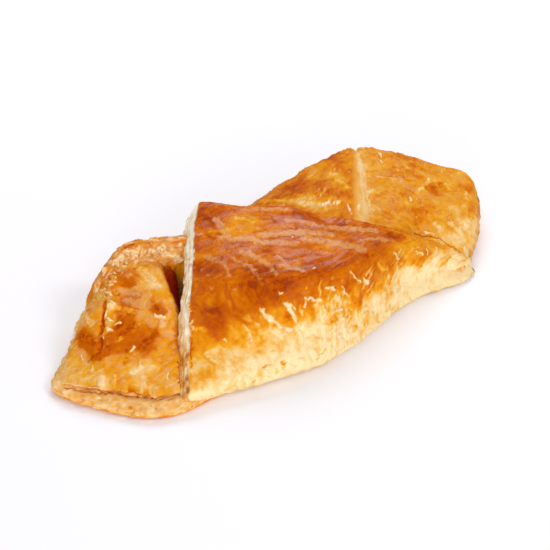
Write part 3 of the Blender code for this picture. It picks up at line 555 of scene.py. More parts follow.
def corner_skin(fronts, backs, rim, climb, drop, rows, columns, rim_rows):
    """The skin of an open corner: a puffed pillow that climbs from its rim to the flaps.

    Returns the points and the share of the climb.
    """
    floor = 1.4
    shares = np.linspace(0, 1, rows)
    fronts = curve(fronts, shares * (len(fronts) - 1))
    backs = curve(backs, shares * (len(backs) - 1))
    rise = curve(climb, np.linspace(0, len(climb) - 1, 60))
    nose = broken_line(rim, rim_rows)
    across = np.linspace(0.06, 1.0, columns)
    rings = []
    for i in range(rows):
        foot, tip = fronts[i], backs[i]
        length = np.linalg.norm(tip[:2] - foot[:2])
        front = np.column_stack([nose[:, 0] / length, np.maximum(floor, nose[:, 1] * foot[2])])
        face = np.column_stack([across, foot[2] + (tip[2] - foot[2]) * np.interp(across, rise[:, 0], rise[:, 1])])
        under = broken_line([(1.0, 0.6 * tip[2]), (1.0, floor), (0.5, floor), tuple(front[0])], UNDER_COLUMNS)
        flat = np.vstack([front, face, under])
        z = flat[:, 1] - (flat[:, 1] - floor) * drop[i]
        rings.append(np.column_stack([foot[:2] + (tip[:2] - foot[:2]) * flat[:, :1], z]))
    shown = puffed_end(rings[0], rings[0] - rings[1], 2.0)
    covered = puffed_end(rings[-1], rings[-1] - rings[-2], 0.2)
    rings = shown[::-1] + rings + covered
    points = swell(np.array(rings))
    points[:, -1] = points[:, 0]
    kind = np.concatenate([np.linspace(-1.0, 0.0, rim_rows), across, np.full(UNDER_COLUMNS, 2.0)])
    end_kind = np.where(kind > 1.0, 0.5, np.maximum(kind, 0.05))
    kinds = [end_kind] * END_RINGS + [kind] * (rows + END_RINGS)
    return points, np.array(kinds)


def puffed_end(ring, outward, bulge):
    """Rings that close the end of a body, shrinking to its middle and bulging out by the given amount in mm."""
    middle = 0.5 * (ring.min(axis=0) + ring.max(axis=0))
    way = outward.mean(axis=0) / np.linalg.norm(outward.mean(axis=0))
    sizes = np.cos(np.linspace(0.0, 0.5 * math.pi, END_RINGS + 1)[1:]) + 0.01
    return [middle + (ring - middle) * size + way * bulge * math.sqrt(1.0 - min(size, 1.0) ** 2) for size in sizes]


def piece_from_rings(name, points, marks, material):
    """A closed body from a grid that is wrapped into rings: each row of the grid is one ring."""
    rows, columns = points.shape[:2]
    for values in (points, *marks.values()):
        values[:, -1] = values[:, 0]
    bpy.ops.object.select_all(action="DESELECT")
    bpy.ops.mesh.primitive_grid_add(x_subdivisions=columns - 1, y_subdivisions=rows - 1, size=0.1)
    piece = bpy.context.object
    piece.name = name
    piece.data.name = name
    mesh = piece.data
    if len(mesh.vertices) != rows * columns:
        raise RuntimeError(f"{name}: the grid has {len(mesh.vertices)} points, not {rows * columns}")
    mesh.vertices.foreach_set("co", ((points - MIDDLE) * MM).astype(np.float32).ravel())
    for mark, values in marks.items():
        layer = mesh.attributes.new(mark, "FLOAT", "POINT")
        layer.data.foreach_set("value", np.clip(values, 0.0, 1.0).astype(np.float32).ravel())
    mesh.update()
    bpy.ops.object.mode_set(mode="EDIT")
    bpy.ops.mesh.select_all(action="SELECT")
    bpy.ops.mesh.remove_doubles(threshold=1e-6)
    bpy.ops.mesh.select_all(action="SELECT")
    bpy.ops.mesh.fill_holes(sides=0)
    bpy.ops.mesh.select_all(action="SELECT")
    bpy.ops.mesh.normals_make_consistent(inside=False)
    bpy.ops.object.mode_set(mode="OBJECT")
    bpy.ops.object.shade_smooth()
    mesh.materials.append(material)
    return stand_in(piece)


def stand_in(piece):
    """Hang a finished piece on the pastry's body in place of the plain solid."""
    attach(piece, "root")
    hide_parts(NODE)
    return piece


def linear(code):
    """A linear colour from an sRGB hex code."""
    parts = [int(code[i : i + 2], 16) / 255 for i in (1, 3, 5)]
    return tuple(p / 12.92 if p <= 0.04045 else ((p + 0.055) / 1.055) ** 2.4 for p in parts) + (1.0,)


def node(tree, kind, values=None, links=None, **settings):
    """Add one shader node, set its inputs and link others to them."""
    made = tree.nodes.new(kind)
    for name, value in settings.items():
        setattr(made, name, value)
    for name, value in (values or {}).items():
        made.inputs[name].default_value = value
    for name, output in (links or {}).items():
        tree.links.new(output, made.inputs[name])
    return made


def ramp(tree, stops, value):
    """A colour ramp through hex codes, read by a value."""
    made = node(tree, "ShaderNodeValToRGB", links={"Fac": value})
    made.color_ramp.interpolation = "EASE" if len(stops) < 3 else "LINEAR"
    elements = made.color_ramp.elements
    while len(elements) < len(stops):
        elements.new(0.5)
    for element, (place, code) in zip(elements, stops):
        element.position = place
        element.color = linear(code)
    return made.outputs["Color"]


# Egg-washed crust from pale dough to the darkest brown, ending in a brighter red that paints the glow in the shade deep
# in the gap by the open corner; and the bare layers of a cut edge
CRUST_STOPS = [
    (0.0, "#F9DDA8"), (0.18, "#F3C478"), (0.34, "#ECA322"), (0.5, "#E28808"), (0.64, "#D06A00"), (0.78, "#BC5000"),
    (0.9, "#9A3800"), (1.0, "#C83C00"),
]
BARE_STOPS = [(0.0, "#B05E1C"), (0.25, "#D48C42"), (0.5, "#EAB472"), (0.75, "#F9D9A6"), (1.0, "#FFF3D8")]


def pastry_material():
    """Puff pastry: a glossy egg-washed crust that browns where the bake mark is high, and matt cut layers; the bake and
    tone marks also carry painted glints, painted sheen and the painted shade of the gap.
    """
    name = "egg_washed_puff_pastry"
    if name in bpy.data.materials:
        return bpy.data.materials[name]
    made = bpy.context.scene.pastry
    material = bpy.data.materials.new(name)
    material.use_nodes = True
    tree = material.node_tree
    shader = tree.nodes["Principled BSDF"]
    place = node(tree, "ShaderNodeTexCoord").outputs["Object"]
    bake = node(tree, "ShaderNodeAttribute", attribute_name="bake").outputs["Fac"]
    bare = node(tree, "ShaderNodeAttribute", attribute_name="bare").outputs["Fac"]
    tone = node(tree, "ShaderNodeAttribute", attribute_name="tone").outputs["Fac"]
    wet = node(tree, "ShaderNodeAttribute", attribute_name="wet").outputs["Fac"]
    # Mottling 1 mm to 3 mm across, and specks of 0.4 mm
    mottle = node(tree, "ShaderNodeTexNoise", {"Scale": 600.0, "Detail": 4.0, "Roughness": 0.6}, {"Vector": place})
    speck = node(tree, "ShaderNodeTexNoise", {"Scale": 2200.0, "Detail": 2.0}, {"Vector": place})
    shade = node(
        tree, "ShaderNodeMapRange", {"From Min": 0.3, "From Max": 0.7, "To Min": -0.05, "To Max": 0.05},
        {"Value": mottle.outputs["Fac"]},
    )
    browned = node(tree, "ShaderNodeMath", operation="ADD", links={0: bake, 1: shade.outputs["Result"]})
    toned = node(tree, "ShaderNodeMath", operation="ADD", links={0: tone, 1: shade.outputs["Result"]})
    crust = ramp(tree, CRUST_STOPS, browned.outputs[0])
    layers = ramp(tree, BARE_STOPS, toned.outputs[0])
    colour = node(tree, "ShaderNodeMix", data_type="RGBA", links={"Factor": bare})
    tree.links.new(crust, colour.inputs[6])
    tree.links.new(layers, colour.inputs[7])
    tree.links.new(colour.outputs[2], shader.inputs["Base Color"])
    gloss = node(tree, "ShaderNodeMath", {1: made.glaze}, {0: wet}, operation="MULTIPLY")
    tree.links.new(gloss.outputs[0], shader.inputs["Coat Weight"])
    rough = node(tree, "ShaderNodeMapRange", {"To Min": 0.45, "To Max": 0.62}, {"Value": bare})
    tree.links.new(rough.outputs["Result"], shader.inputs["Roughness"])
    shader.inputs["Coat Roughness"].default_value = 0.12
    shader.inputs["Specular IOR Level"].default_value = 0.02
    shader.inputs["Subsurface Weight"].default_value = 0.15
    shader.inputs["Subsurface Radius"].default_value = (1.0, 0.45, 0.15)
    shader.inputs["Subsurface Scale"].default_value = 0.0015
    # Fine blistering of the crust, 0.4 mm to 1.5 mm across and some tenths of a millimetre high
    height = node(tree, "ShaderNodeMath", {1: 0.5}, {0: speck.outputs["Fac"]}, operation="MULTIPLY")
    height = node(tree, "ShaderNodeMath", operation="ADD", links={0: height.outputs[0], 1: mottle.outputs["Fac"]})
    bump = node(tree, "ShaderNodeBump", {"Strength": 0.7, "Distance": 0.0005}, {"Height": height.outputs[0]})
    tree.links.new(bump.outputs["Normal"], shader.inputs["Normal"])
    washed = node(tree, "ShaderNodeBump", {"Strength": 0.2, "Distance": 0.0004}, {"Height": height.outputs[0]})
    tree.links.new(washed.outputs["Normal"], shader.inputs["Coat Normal"])
    return material


class PastrySettings(bpy.types.PropertyGroup):
    """Sizes and finish of the baked pastry."""

    top_height: FloatProperty(
        name="Top height", description="Height of the upper flap's tip", default=0.032, unit="LENGTH", subtype="DISTANCE",
    )
    under_height: FloatProperty(
        name="Under height", description="Height of the lower flap", default=0.0275, unit="LENGTH", subtype="DISTANCE",
    )
    sheet_thickness: FloatProperty(
        name="Sheet thickness", description="Thickness of one puffed sheet at a cut edge", default=0.0065,
        unit="LENGTH", subtype="DISTANCE",
    )
    belly: FloatProperty(
        name="Belly", description="How far a fold bulges past its foot", default=0.004, unit="LENGTH",
        subtype="DISTANCE",
    )
    wrinkles: FloatProperty(
        name="Wrinkles", description="Depth of the wrinkles and pleats, where 1 is as baked", default=1.0,
        subtype="FACTOR",
    )
    layers: IntProperty(name="Layers", description="Layers that show in the thickness of a cut edge", default=7)
    glaze: FloatProperty(name="Glaze", description="How glossy the egg wash is", default=1.0, subtype="FACTOR")


class StudioSettings(bpy.types.PropertyGroup):
    """Light and camera of the plain studio."""

    key: FloatProperty(name="Key light", description="Power of the large soft light behind, in watts", default=4.7)
    side: FloatProperty(name="Side light", description="Power of the light at the open end, in watts", default=6.2)
    fill: FloatProperty(name="Fill light", description="Power of the light in front, in watts", default=1.5)
    spark: FloatProperty(name="Spark light", description="Power of the small light that glints, in watts", default=3.0)
    sky: FloatProperty(name="Surroundings", description="Brightness of the white room", default=0.45)
    distance: FloatProperty(
        name="Camera distance", description="From the camera to the pastry", default=0.6, unit="LENGTH",
        subtype="DISTANCE",
    )


class PASTRY_OT_near_flap(bpy.types.Operator):
    """Model the upper flap with its fold, cut side and free edge"""

    bl_idname = "pastry.near_flap"
    bl_label = "Near flap"

    def execute(self, context):
        made = context.scene.pastry
        points, face, cut, wall = flap_skin(
            NEAR_FOOT, NEAR_EDGE, NEAR_FULLNESS, made.top_height / MM, CUT_LAYERS, 1.0, 1.0, 340, 230, 34, 30
        )
        a, b = lengths(points, 0), lengths(points, 1)
        normal = normals(points)
        steep = normal[..., 2]
        x, z = points[..., 0], points[..., 2]
        outer = (face >= 0) * (1.0 - smooth(0.0, 0.05, cut)) * (1.0 - smooth(0.0, 0.05, wall))
        flat = smooth(0.78, 0.94, steep) * outer
        side = (1.0 - smooth(0.45, 0.8, steep)) * outer
        brow = np.clip(outer - flat - side, 0.0, 1.0)
        near_edge = smooth(0.62, 0.9, face)
        full = 1.0 - smooth(38.0, 52.0, x)
        wavy_a, wavy_b = a + 1.6 * lumps(points, 5.0, 71.0), b + 1.6 * lumps(points, 5.0, 73.0)
        calm_a, calm_b = a + 0.8 * lumps(points, 4.0, 71.0), b + 0.5 * lumps(points, 4.0, 73.0)
        along_edge = grain(calm_a, calm_b, 0.0, 8.0, 1.6) + 0.5 * grain(calm_a, calm_b, 0.0, 3.0, 0.7, 2.0)
        down_right = grain(calm_a, calm_b, -1.01, 6.0, 1.7, 5.0) + 0.5 * grain(calm_a, calm_b, -1.01, 3.0, 0.7, 7.0)
        brushed = near_edge * along_edge + (1.0 - near_edge) * down_right
        patch = np.where(
            near_edge > 0.5, flakes(calm_a, calm_b, 0.0, 8.0, 1.4, 31)[0], flakes(calm_a, calm_b, -1.01, 7.0, 1.6, 32)[0]
        )
        flake, rim_away = flakes(wavy_a, wavy_b, 0.0, 2.4, 4.4, 33)
        chip, chip_away = flakes(wavy_a, wavy_b, 0.4, 1.2, 1.9, 34)
        sliver = np.where(
            near_edge > 0.5, flakes(calm_a, calm_b, 0.0, 3.4, 0.8, 35)[0], flakes(calm_a, calm_b, -1.01, 3.4, 0.8, 36)[0]
        )
        relief = (0.3 * lumps(points, 9.0, 2.0) + 0.16 * lumps(points, 4.0, 5.0)) * outer
        relief += (flat + brow) * 0.1 * brushed * full
        relief += side * (0.12 * flake - 0.14 * (1.0 - smooth(0.0, 0.25, rim_away)) + 0.14 * lumps(points, 2.4, 9.0))
        relief += (side + 0.6 * brow) * (0.06 * chip + 0.08 * lumps(points, 1.3, 12.0))
        left, right = 1.0 - smooth(-18.0, -8.0, x), smooth(2.0, 14.0, x)
        strokes = left * grain(a, b, 2.2, 4.6, 1.3, 11.0) + right * grain(a, b, 0.8, 4.6, 1.3, 17.0)
        strokes += (1.0 - left - right) * grain(a, b, 1.55, 4.0, 1.3, 14.0)
        low = (1.0 - smooth(0.6, 0.8, steep)) * smooth(-0.3, 0.1, steep) * outer
        clumps = smooth(-0.1, 0.3, lumps(points, 8.0, 21.0)) * (1.0 - 0.6 * smooth(24.0, 36.0, x))
        strokes = smooth(0.34, 0.48, strokes + 0.2 * lumps(points, 1.5, 23.0)) * low * clumps
        relief += 0.35 * strokes
        dimples = ((0.6, 1.4), (0.5, 1.2), (0.0, 3.0), (-0.15, 0.22))
        relief = pressed(relief, a, b, strewn(outer * (0.3 + side), a, b, 260, dimples, 4))
        out_cut, tone_cut = layered(cut, b, 5, 1.0)
        out_wall, tone_wall = layered(wall, a, made.layers, 6.0)
        open_edge = smooth(0.03, 0.12, wall) * (face >= 0) * (cut <= 0) * (1.0 - smooth(22.0, 36.0, x))
        side_cut = smooth(0.0, 0.15, cut) * (face >= 0) * (z > 2.0)
        bare = smooth(0.0, 0.08, cut - 0.05 + 0.07 * lumps(points, 2.0, 64.0)) * (1.0 - smooth(1.02, 1.1, cut)) * (cut > 0)
        bare = np.maximum(bare, open_edge)
        relief = relief * made.wrinkles + 0.6 * open_edge * out_wall
        relief += side_cut * (0.5 * out_cut + 0.4 * lumps(points, 6.0, 61.0) + 0.08 * lumps(points, 1.6, 67.0))
        line = np.interp(x, *np.array(NEAR_LINE, float).T)
        above = z - line + 2.4 * lumps(points, 7.0, 8.0) + 1.6 * grain(a, b, 1.571, 8.0, 3.2, 2.0) * side
        bake = np.interp(above, [-12, -6, -2, 1.5, 5], [0.0, 0.08, 0.3, 0.5, 0.62])
        end = smooth(22.0, 34.0, x)
        bake = mix(bake, np.interp(above, [-5, -2, 1, 4], [0.0, 0.1, 0.34, 0.42]), end * (side + brow))
        bake = patched(points, bake, NEAR_PATCHES)
        pale = 1.0 - smooth(0.35, 0.65, bake)
        bake += (0.04 + 0.05 * pale) * lumps(points, 4.0, 30.0) + (0.03 + 0.04 * pale) * lumps(points, 1.6, 40.0)
        bake += (0.04 + 0.07 * pale) * flake * side + (0.03 + 0.06 * pale) * chip * (side + 0.5 * brow)
        bake += 0.07 * grain(wavy_a, wavy_b, 1.571, 5.0, 1.5, 61.0) * side
        bake += (flat + 0.5 * brow) * (0.05 * patch + 0.05 * sliver)
        streaks = smooth(0.0, 0.1, 0.35 * patch + 0.35 * sliver + 0.5 * brushed + 0.4 * lumps(points, 7.0, 55.0))
        dark = smooth(0.3, 0.45, -0.35 * patch - 0.35 * sliver - 0.5 * brushed + 0.4 * lumps(points, 5.0, 58.0))
        # Painted glints: the pleats low on the side are drawn paler, as well as raised and glossy
        bake = bake - 0.3 * strokes * smooth(0.1, 0.5, bake) + (0.14 * dark + 0.1 * streaks) * (flat + 0.5 * brow) * full
        # Painted shade: the underside of the cut side, which lines the gap by the open corner, is drawn orange-brown
        bake = np.where(cut > 1.0, 0.7, bake)
        wet = (0.04 + 0.4 * streaks) * flat + (0.03 + 0.16 * streaks) * brow + 0.1 * side + 0.6 * strokes
        # Painted highlight: the rim along the top of the cut side is drawn paler, besides being glossy
        rim = smooth(0.0, 0.04, cut) * (1.0 - smooth(0.16, 0.3, cut)) * smooth(10.0, 16.0, z) * (face >= 0)
        blotch = 0.22 * lumps(points, 3.6, 81.0) + 0.06 * lumps(points, 1.2, 84.0)
        moist = 0.3 + 0.7 * smooth(9.0, 16.0, z)
        wet = np.maximum(np.maximum(wet, rim), moist * side_cut)
        # The cut side is drawn paler towards its top, partly as the colour of its layers and partly as painted light
        # that brightens its upper part
        tone_cut = 0.85 * tone_cut + blotch + np.interp(z, [2, 8, 13, 18, 28], [-0.15, -0.06, 0.2, 0.4, 0.56])
        tone = np.where(cut > 0.0, tone_cut + 0.4 * rim - 0.15 * smooth(0.5, 0.9, cut), tone_wall)
        points, marks = finished(points, normal, relief, bake, bare, tone, wet)
        piece_from_rings("near_flap", points, marks, pastry_material())
        return {"FINISHED"}


class PASTRY_OT_far_flap(bpy.types.Operator):
    """Model the lower flap with its fold, cut side and free edge"""

    bl_idname = "pastry.far_flap"
    bl_label = "Far flap"

    def execute(self, context):
        made = context.scene.pastry
        points, face, cut, wall = flap_skin(
            FAR_FOOT, FAR_EDGE, FAR_FULLNESS, made.under_height / MM, SLOPE_LAYERS, 1.6, 0.4, 330, 200, 34, 40
        )
        a, b = lengths(points, 0), lengths(points, 1)
        normal = normals(points)
        steep = normal[..., 2]
        outer = (face >= 0) * (1.0 - smooth(0.0, 0.05, cut)) * (1.0 - smooth(0.0, 0.05, wall))
        flat = smooth(0.75, 0.92, steep) * outer
        side = outer - flat
        relief = (0.35 * lumps(points, 8.0, 22.0) + 0.18 * lumps(points, 3.5, 25.0)) * outer
        relief += flat * 0.1 * grain(a, b, 0.3, 6.0, 2.2, 3.0) + side * 0.14 * grain(a, b, 1.571, 6.0, 2.0, 12.0)
        wavy_a, wavy_b = a + 1.4 * lumps(points, 4.0, 71.0), b + 1.4 * lumps(points, 4.0, 73.0)
        flake, rim_away = flakes(wavy_a, wavy_b, 0.3, 4.0, 2.2, 41)
        chip, chip_away = flakes(wavy_a, wavy_b, 0.6, 1.8, 1.2, 42)
        relief += outer * (0.1 * flake - 0.1 * (1.0 - smooth(0.0, 0.25, rim_away)) + 0.06 * chip)
        strokes = grain(a, b, 0.9, 2.0, 0.9, 13.0)
        strokes = smooth(0.4, 0.7, strokes) * smooth(0.1, 0.5, lumps(points, 6.0, 19.0)) * outer
        relief += 0.3 * strokes
        dimples = ((0.6, 1.6), (0.5, 1.3), (0.0, 3.0), (-0.15, 0.22))
        relief = pressed(relief, a, b, strewn(outer, a, b, 240, dimples, 14))
        out_wall, tone_wall = layered(wall, a, 4, 26.0)
        x, z = points[..., 0], points[..., 2]
        side_cut = smooth(0.0, 0.3, cut) * (face >= 0) * (z > 2.0)
        relief = relief * made.wrinkles + side_cut * 0.25 * lumps(points, 3.0, 33.0)
        brink = smooth(0.86, 0.97, face + 0.05 * lumps(points, 3.0, 95.0)) * (1.0 - smooth(-27.0, -20.0, x)) * outer
        torn = np.maximum(smooth(0.03, 0.25, wall) * (face >= 0) * (cut <= 0), brink)
        crumbly = smooth(-0.45, 0.45, lumps(points, 2.2, 97.0) + 0.6 * lumps(points, 0.9, 99.0))
        relief += torn * (0.3 * out_wall + 0.6 * lumps(points, 2.6, 44.0) + 0.5 * lumps(points, 1.1, 47.0))
        bare = np.maximum(0.3 * side_cut, torn * (0.55 + 0.45 * crumbly) * (1.0 - smooth(1.0, 1.2, wall)))
        above = z - 12.0 + 2.5 * lumps(points, 8.0, 58.0) + 1.3 * grain(a, b, 1.571, 3.0, 1.2, 42.0)
        bake = np.interp(above, [-10, -5, -1, 2, 7], [0.1, 0.18, 0.34, 0.5, 0.55])
        bake = patched(points, bake, FAR_PATCHES) + 0.11 * lumps(points, 5.0, 70.0) + 0.06 * lumps(points, 1.8, 80.0)
        band = 0.3 + 0.1 * lumps(points, 2.0, 35.0) + 0.1 * lumps(points, 5.0, 39.0) - 0.14 * np.exp(-(((cut - 0.5) / 0.14) ** 2))
        bake = mix(bake, band + 0.14 * smooth(0.85, 1.15, cut), side_cut)
        bake += torn * (0.42 - bake) * 0.6 * (1.0 - smooth(1.0, 1.3, wall))
        streaks = smooth(0.0, 0.25, grain(a, b, 0.3, 6.0, 1.5, 83.0) + 0.4 * lumps(points, 4.0, 90.0))
        bake += (0.07 * flake + 0.05 * chip) * outer - 0.06 * strokes
        wet = 0.14 * flat * streaks + 0.3 * side + 0.5 * strokes
        wet = np.maximum(wet, 0.5 * torn * crumbly * (1.0 - smooth(0.5, 1.0, wall)))
        tone = np.where(cut > 0.0, 0.58 + 0.15 * lumps(points, 2.5, 37.0), 0.15 + 0.4 * tone_wall + 0.3 * crumbly)
        tone += 0.15 * lumps(points, 0.9, 92.0) * torn
        points, marks = finished(points, normal, relief, bake, bare, tone, wet)
        piece_from_rings("far_flap", points, marks, pastry_material())
        return {"FINISHED"}


def corner_piece(name, points, kind, patches, bare_and_sheen_patches, matt, base, extra, gleam, seed):
    """Shape and brown the skin of an open corner, paint its patches of sheen and the highlight along its ridge, and
    make its body.
    """
    made = bpy.context.scene.pastry
    a, b = lengths(points, 0), lengths(points, 1)
    normal = normals(points)
    outer = (kind > 0) * (kind <= 1)
    rim = smooth(-1.0, -0.9, kind) * (kind <= 0)
    relief = (0.3 * lumps(points, 7.0, seed + 2.0) + 0.14 * lumps(points, 3.0, seed + 6.0)) * outer
    wavy_a, wavy_b = a + 1.4 * lumps(points, 4.0, seed + 71.0), b + 1.4 * lumps(points, 4.0, seed + 73.0)
    flake, rim_away = flakes(wavy_a, wavy_b, 0.8, 4.2, 2.4, int(seed) + 41)
    chip, chip_away = flakes(wavy_a, wavy_b, 0.3, 1.8, 1.2, int(seed) + 42)
    relief += outer * (0.1 * flake - 0.1 * (1.0 - smooth(0.0, 0.25, rim_away)) + 0.06 * chip)
    strokes = grain(a, b, 0.8, 2.0, 0.9, seed + 14.0)
    strokes = smooth(0.4, 0.7, strokes) * smooth(0.1, 0.5, lumps(points, 6.0, seed + 19.0)) * outer
    relief += 0.25 * strokes
    dimples = ((0.6, 1.6), (0.5, 1.3), (0.0, 3.0), (-0.2, 0.25))
    relief = pressed(relief, a, b, strewn(outer, a, b, 240, dimples, int(seed) + 1))
    crest = smooth(0.3, 0.8, gleam)
    out_rim, tone_rim = layered(kind + 1.0, a, 2, seed + 8.0)
    relief = relief * made.wrinkles + rim * (0.35 * out_rim + 0.3 * lumps(points, 2.0, seed + 12.0)) + extra
    bake = base + 0.08 * lumps(points, 5.0, seed + 30.0) + 0.05 * lumps(points, 1.8, seed + 40.0)
    bake = patched(points, bake + (0.07 * flake + 0.05 * chip) * outer, patches) - 0.06 * strokes
    # Browning is capped at 0.7 except where the base goes past it, as in the painted shade of the gap
    bake = np.where(base > 0.7, bake, np.minimum(bake, 0.7))
    fine = smooth(-0.4, 0.6, 0.3 * chip + 0.8 * lumps(points, 1.4, seed + 77.0) + 0.6 * lumps(points, 4.0, seed + 79.0))
    # Patches drawn in the pale colour of bare layers, partly flaky dough and partly painted sheen from the table of
    # patches
    tan = np.clip(patched(points, matt * fine, bare_and_sheen_patches), 0.0, 0.8) * (0.5 + 0.5 * fine) * outer
    tan *= 1.0 - smooth(0.5, 0.64, bake)
    bare = np.maximum(rim * (1.0 - smooth(-0.25, 0.0, kind)), tan)
    streaks = smooth(0.0, 0.25, grain(a, b, 0.8, 6.0, 1.6, seed + 52.0) + 0.4 * lumps(points, 4.0, seed + 50.0))
    wet = np.maximum((0.12 * streaks + 0.6 * strokes) * outer, crest)
    # Painted highlight along the ridge: its crest is drawn pale cream, besides being glossy
    bare = np.maximum(bare, 0.7 * crest)
    tone = np.where(outer, 0.46 + 0.12 * chip + 0.5 * crest, tone_rim - 0.25)
    points, marks = finished(points, normal, relief, bake, bare, tone, wet)
    return piece_from_rings(name, points, marks, pastry_material())


class PASTRY_OT_open_corner(bpy.types.Operator):
    """Model the open corner that climbs from the rim to the cut side of the flap"""

    bl_idname = "pastry.open_corner"
    bl_label = "Open corner"

    def execute(self, context):
        rows = 230
        shares = np.linspace(0, 1, rows)
        drop = 0.28 * np.clip(1.0 - shares / 0.25, 0, None) + rounded(shares, 0.2, 0.35, 0.08)
        points, kind = corner_skin(OPEN_FRONT, OPEN_BACK, OPEN_RIM, OPEN_CLIMB, drop, rows, 230, 16)
        along, out = np.moveaxis((points[..., :2] - NEAR_FOOT[0]) @ GAP_AXES, -1, 0)
        brink = np.interp(along, *GAP_BRINK)
        depth = np.interp(along, *GAP_DEPTH) * smooth(-0.5, 3.5, brink - out) * (kind > 0) * (kind <= 1)
        points[..., 2] = np.maximum(points[..., 2] - depth, 1.4)
        right, place = beside(points, CREASE)
        held = smooth(0.0, 0.12, place) * (1.0 - smooth(0.85, 1.0, place)) * (kind > 0) * (kind <= 1)
        right = right + 0.5 * lumps(points, 2.5, 133.0)
        bumpy = smooth(0.1, 0.6, lumps(points, 1.5, 131.0) + 0.7 * lumps(points, 5.0, 137.0))
        groove = np.exp(-((right / 0.45) ** 2)) * held
        ridge = smooth(0.4, 1.0, right) * (1.0 - smooth(1.6, 3.2, right)) * held * bumpy
        fold = smooth(0.0, 2.0, -right) * (1.0 - smooth(4.0, 9.0, -right)) * held
        base = np.interp(points[..., 2], [3, 7, 10, 14, 20], [0.24, 0.35, 0.48, 0.5, 0.42])
        # Painted shade and glow: the floor of the gap is drawn deep red-brown, up to the brighter red at the end of the
        # crust colours. The ridge is drawn paler, a painted highlight.
        base += 0.7 * smooth(0.5, 4.0, depth) + 0.25 * groove - 0.12 * ridge - 0.05 * fold
        extra = 0.35 * ridge - 0.7 * groove + 0.4 * fold
        matt = 0.46 + 0.35 * (1.0 - smooth(5.0, 9.0, points[..., 2]))
        corner_piece("open_corner", points, kind, OPEN_PATCHES, OPEN_BARE_AND_SHEEN, matt, base, extra, 0.3 * ridge, 100.0)
        return {"FINISHED"}


class PASTRY_OT_shut_corner(bpy.types.Operator):
    """Model the open corner at the other end, which the flaps press shut"""

    bl_idname = "pastry.shut_corner"
    bl_label = "Shut corner"

    def execute(self, context):
        rows = 230
        shares = np.linspace(0, 1, rows)
        drop = rounded(shares, 0.38, 0.2, 0.12)
        points, kind = corner_skin(SHUT_FRONT, SHUT_BACK, SHUT_RIM, SHUT_CLIMB, drop, rows, 230, 16)
        base = np.interp(points[..., 2], [3, 7, 12, 16, 22], [0.12, 0.18, 0.29, 0.44, 0.46])
        base -= 0.14 * smooth(0.88, 0.97, kind)
        corner_piece("shut_corner", points, kind, SHUT_PATCHES, [], 0.2, base, 0.0, 0.0, 200.0)
        return {"FINISHED"}


class PASTRY_OT_bottom_layer(bpy.types.Operator):
    """Model the bottom layer that shows under the open corner"""

    bl_idname = "pastry.bottom_layer"
    bl_label = "Bottom layer"

    def execute(self, context):
        columns, rows = 900, 48
        last = len(BASE_OUTLINE)
        looped = BASE_OUTLINE[-3:] + BASE_OUTLINE + BASE_OUTLINE[:4]
        ring = curve(looped, 3 + np.linspace(0, last, columns))
        centre = np.array(BASE_OUTLINE).mean(axis=0)
        inward = (centre - ring) / np.linalg.norm(centre - ring, axis=1, keepdims=True)
        steps = broken_line(BASE_STEPS, rows)
        points = np.array([np.column_stack([ring + inward * inset, np.full(columns, z)]) for inset, z in steps])
        points = swell(points)
        points[:, -1] = points[:, 0]
        run = lengths(points, 1)
        share = np.clip(points[..., 2] / 4.8, 0, 1)
        out, tone = layered(share, run, 3, 300.0)
        blend = np.clip(np.minimum(run, run[:, -1:] - run) / 3.0, 0, 1)
        hold = smooth(0.06, 0.3, share) * blend * (steps[:, :1] < 4.0)
        out = 0.5 * out + 0.8 * lumps(points, 2.2, 320.0) + 0.5 * lumps(points, 6.0, 330.0) + 0.4 * lumps(points, 1.0, 325.0)
        points[..., :2] -= inward[None] * (0.6 * out * hold)[..., None]
        crumbly = smooth(-0.6, 0.6, lumps(points, 2.4, 340.0) + 0.6 * lumps(points, 0.9, 345.0))
        bake = 0.34 + 0.12 * lumps(points, 4.0, 310.0) + 0.08 * lumps(points, 1.6, 315.0)
        bake += 0.2 * (1.0 - smooth(0.0, 0.25, share))
        bare = (0.4 + 0.5 * crumbly) * smooth(0.2, 0.45, share)
        tone = 0.6 * tone + 0.2 + 0.14 * lumps(points, 1.5, 355.0)
        normal = normals(points)
        points, marks = finished(points, normal, np.zeros_like(bake), bake, bare, tone, 0.1 * smooth(0.5, 0.8, share))
        piece_from_rings("bottom_layer", points, marks, pastry_material())
        return {"FINISHED"}


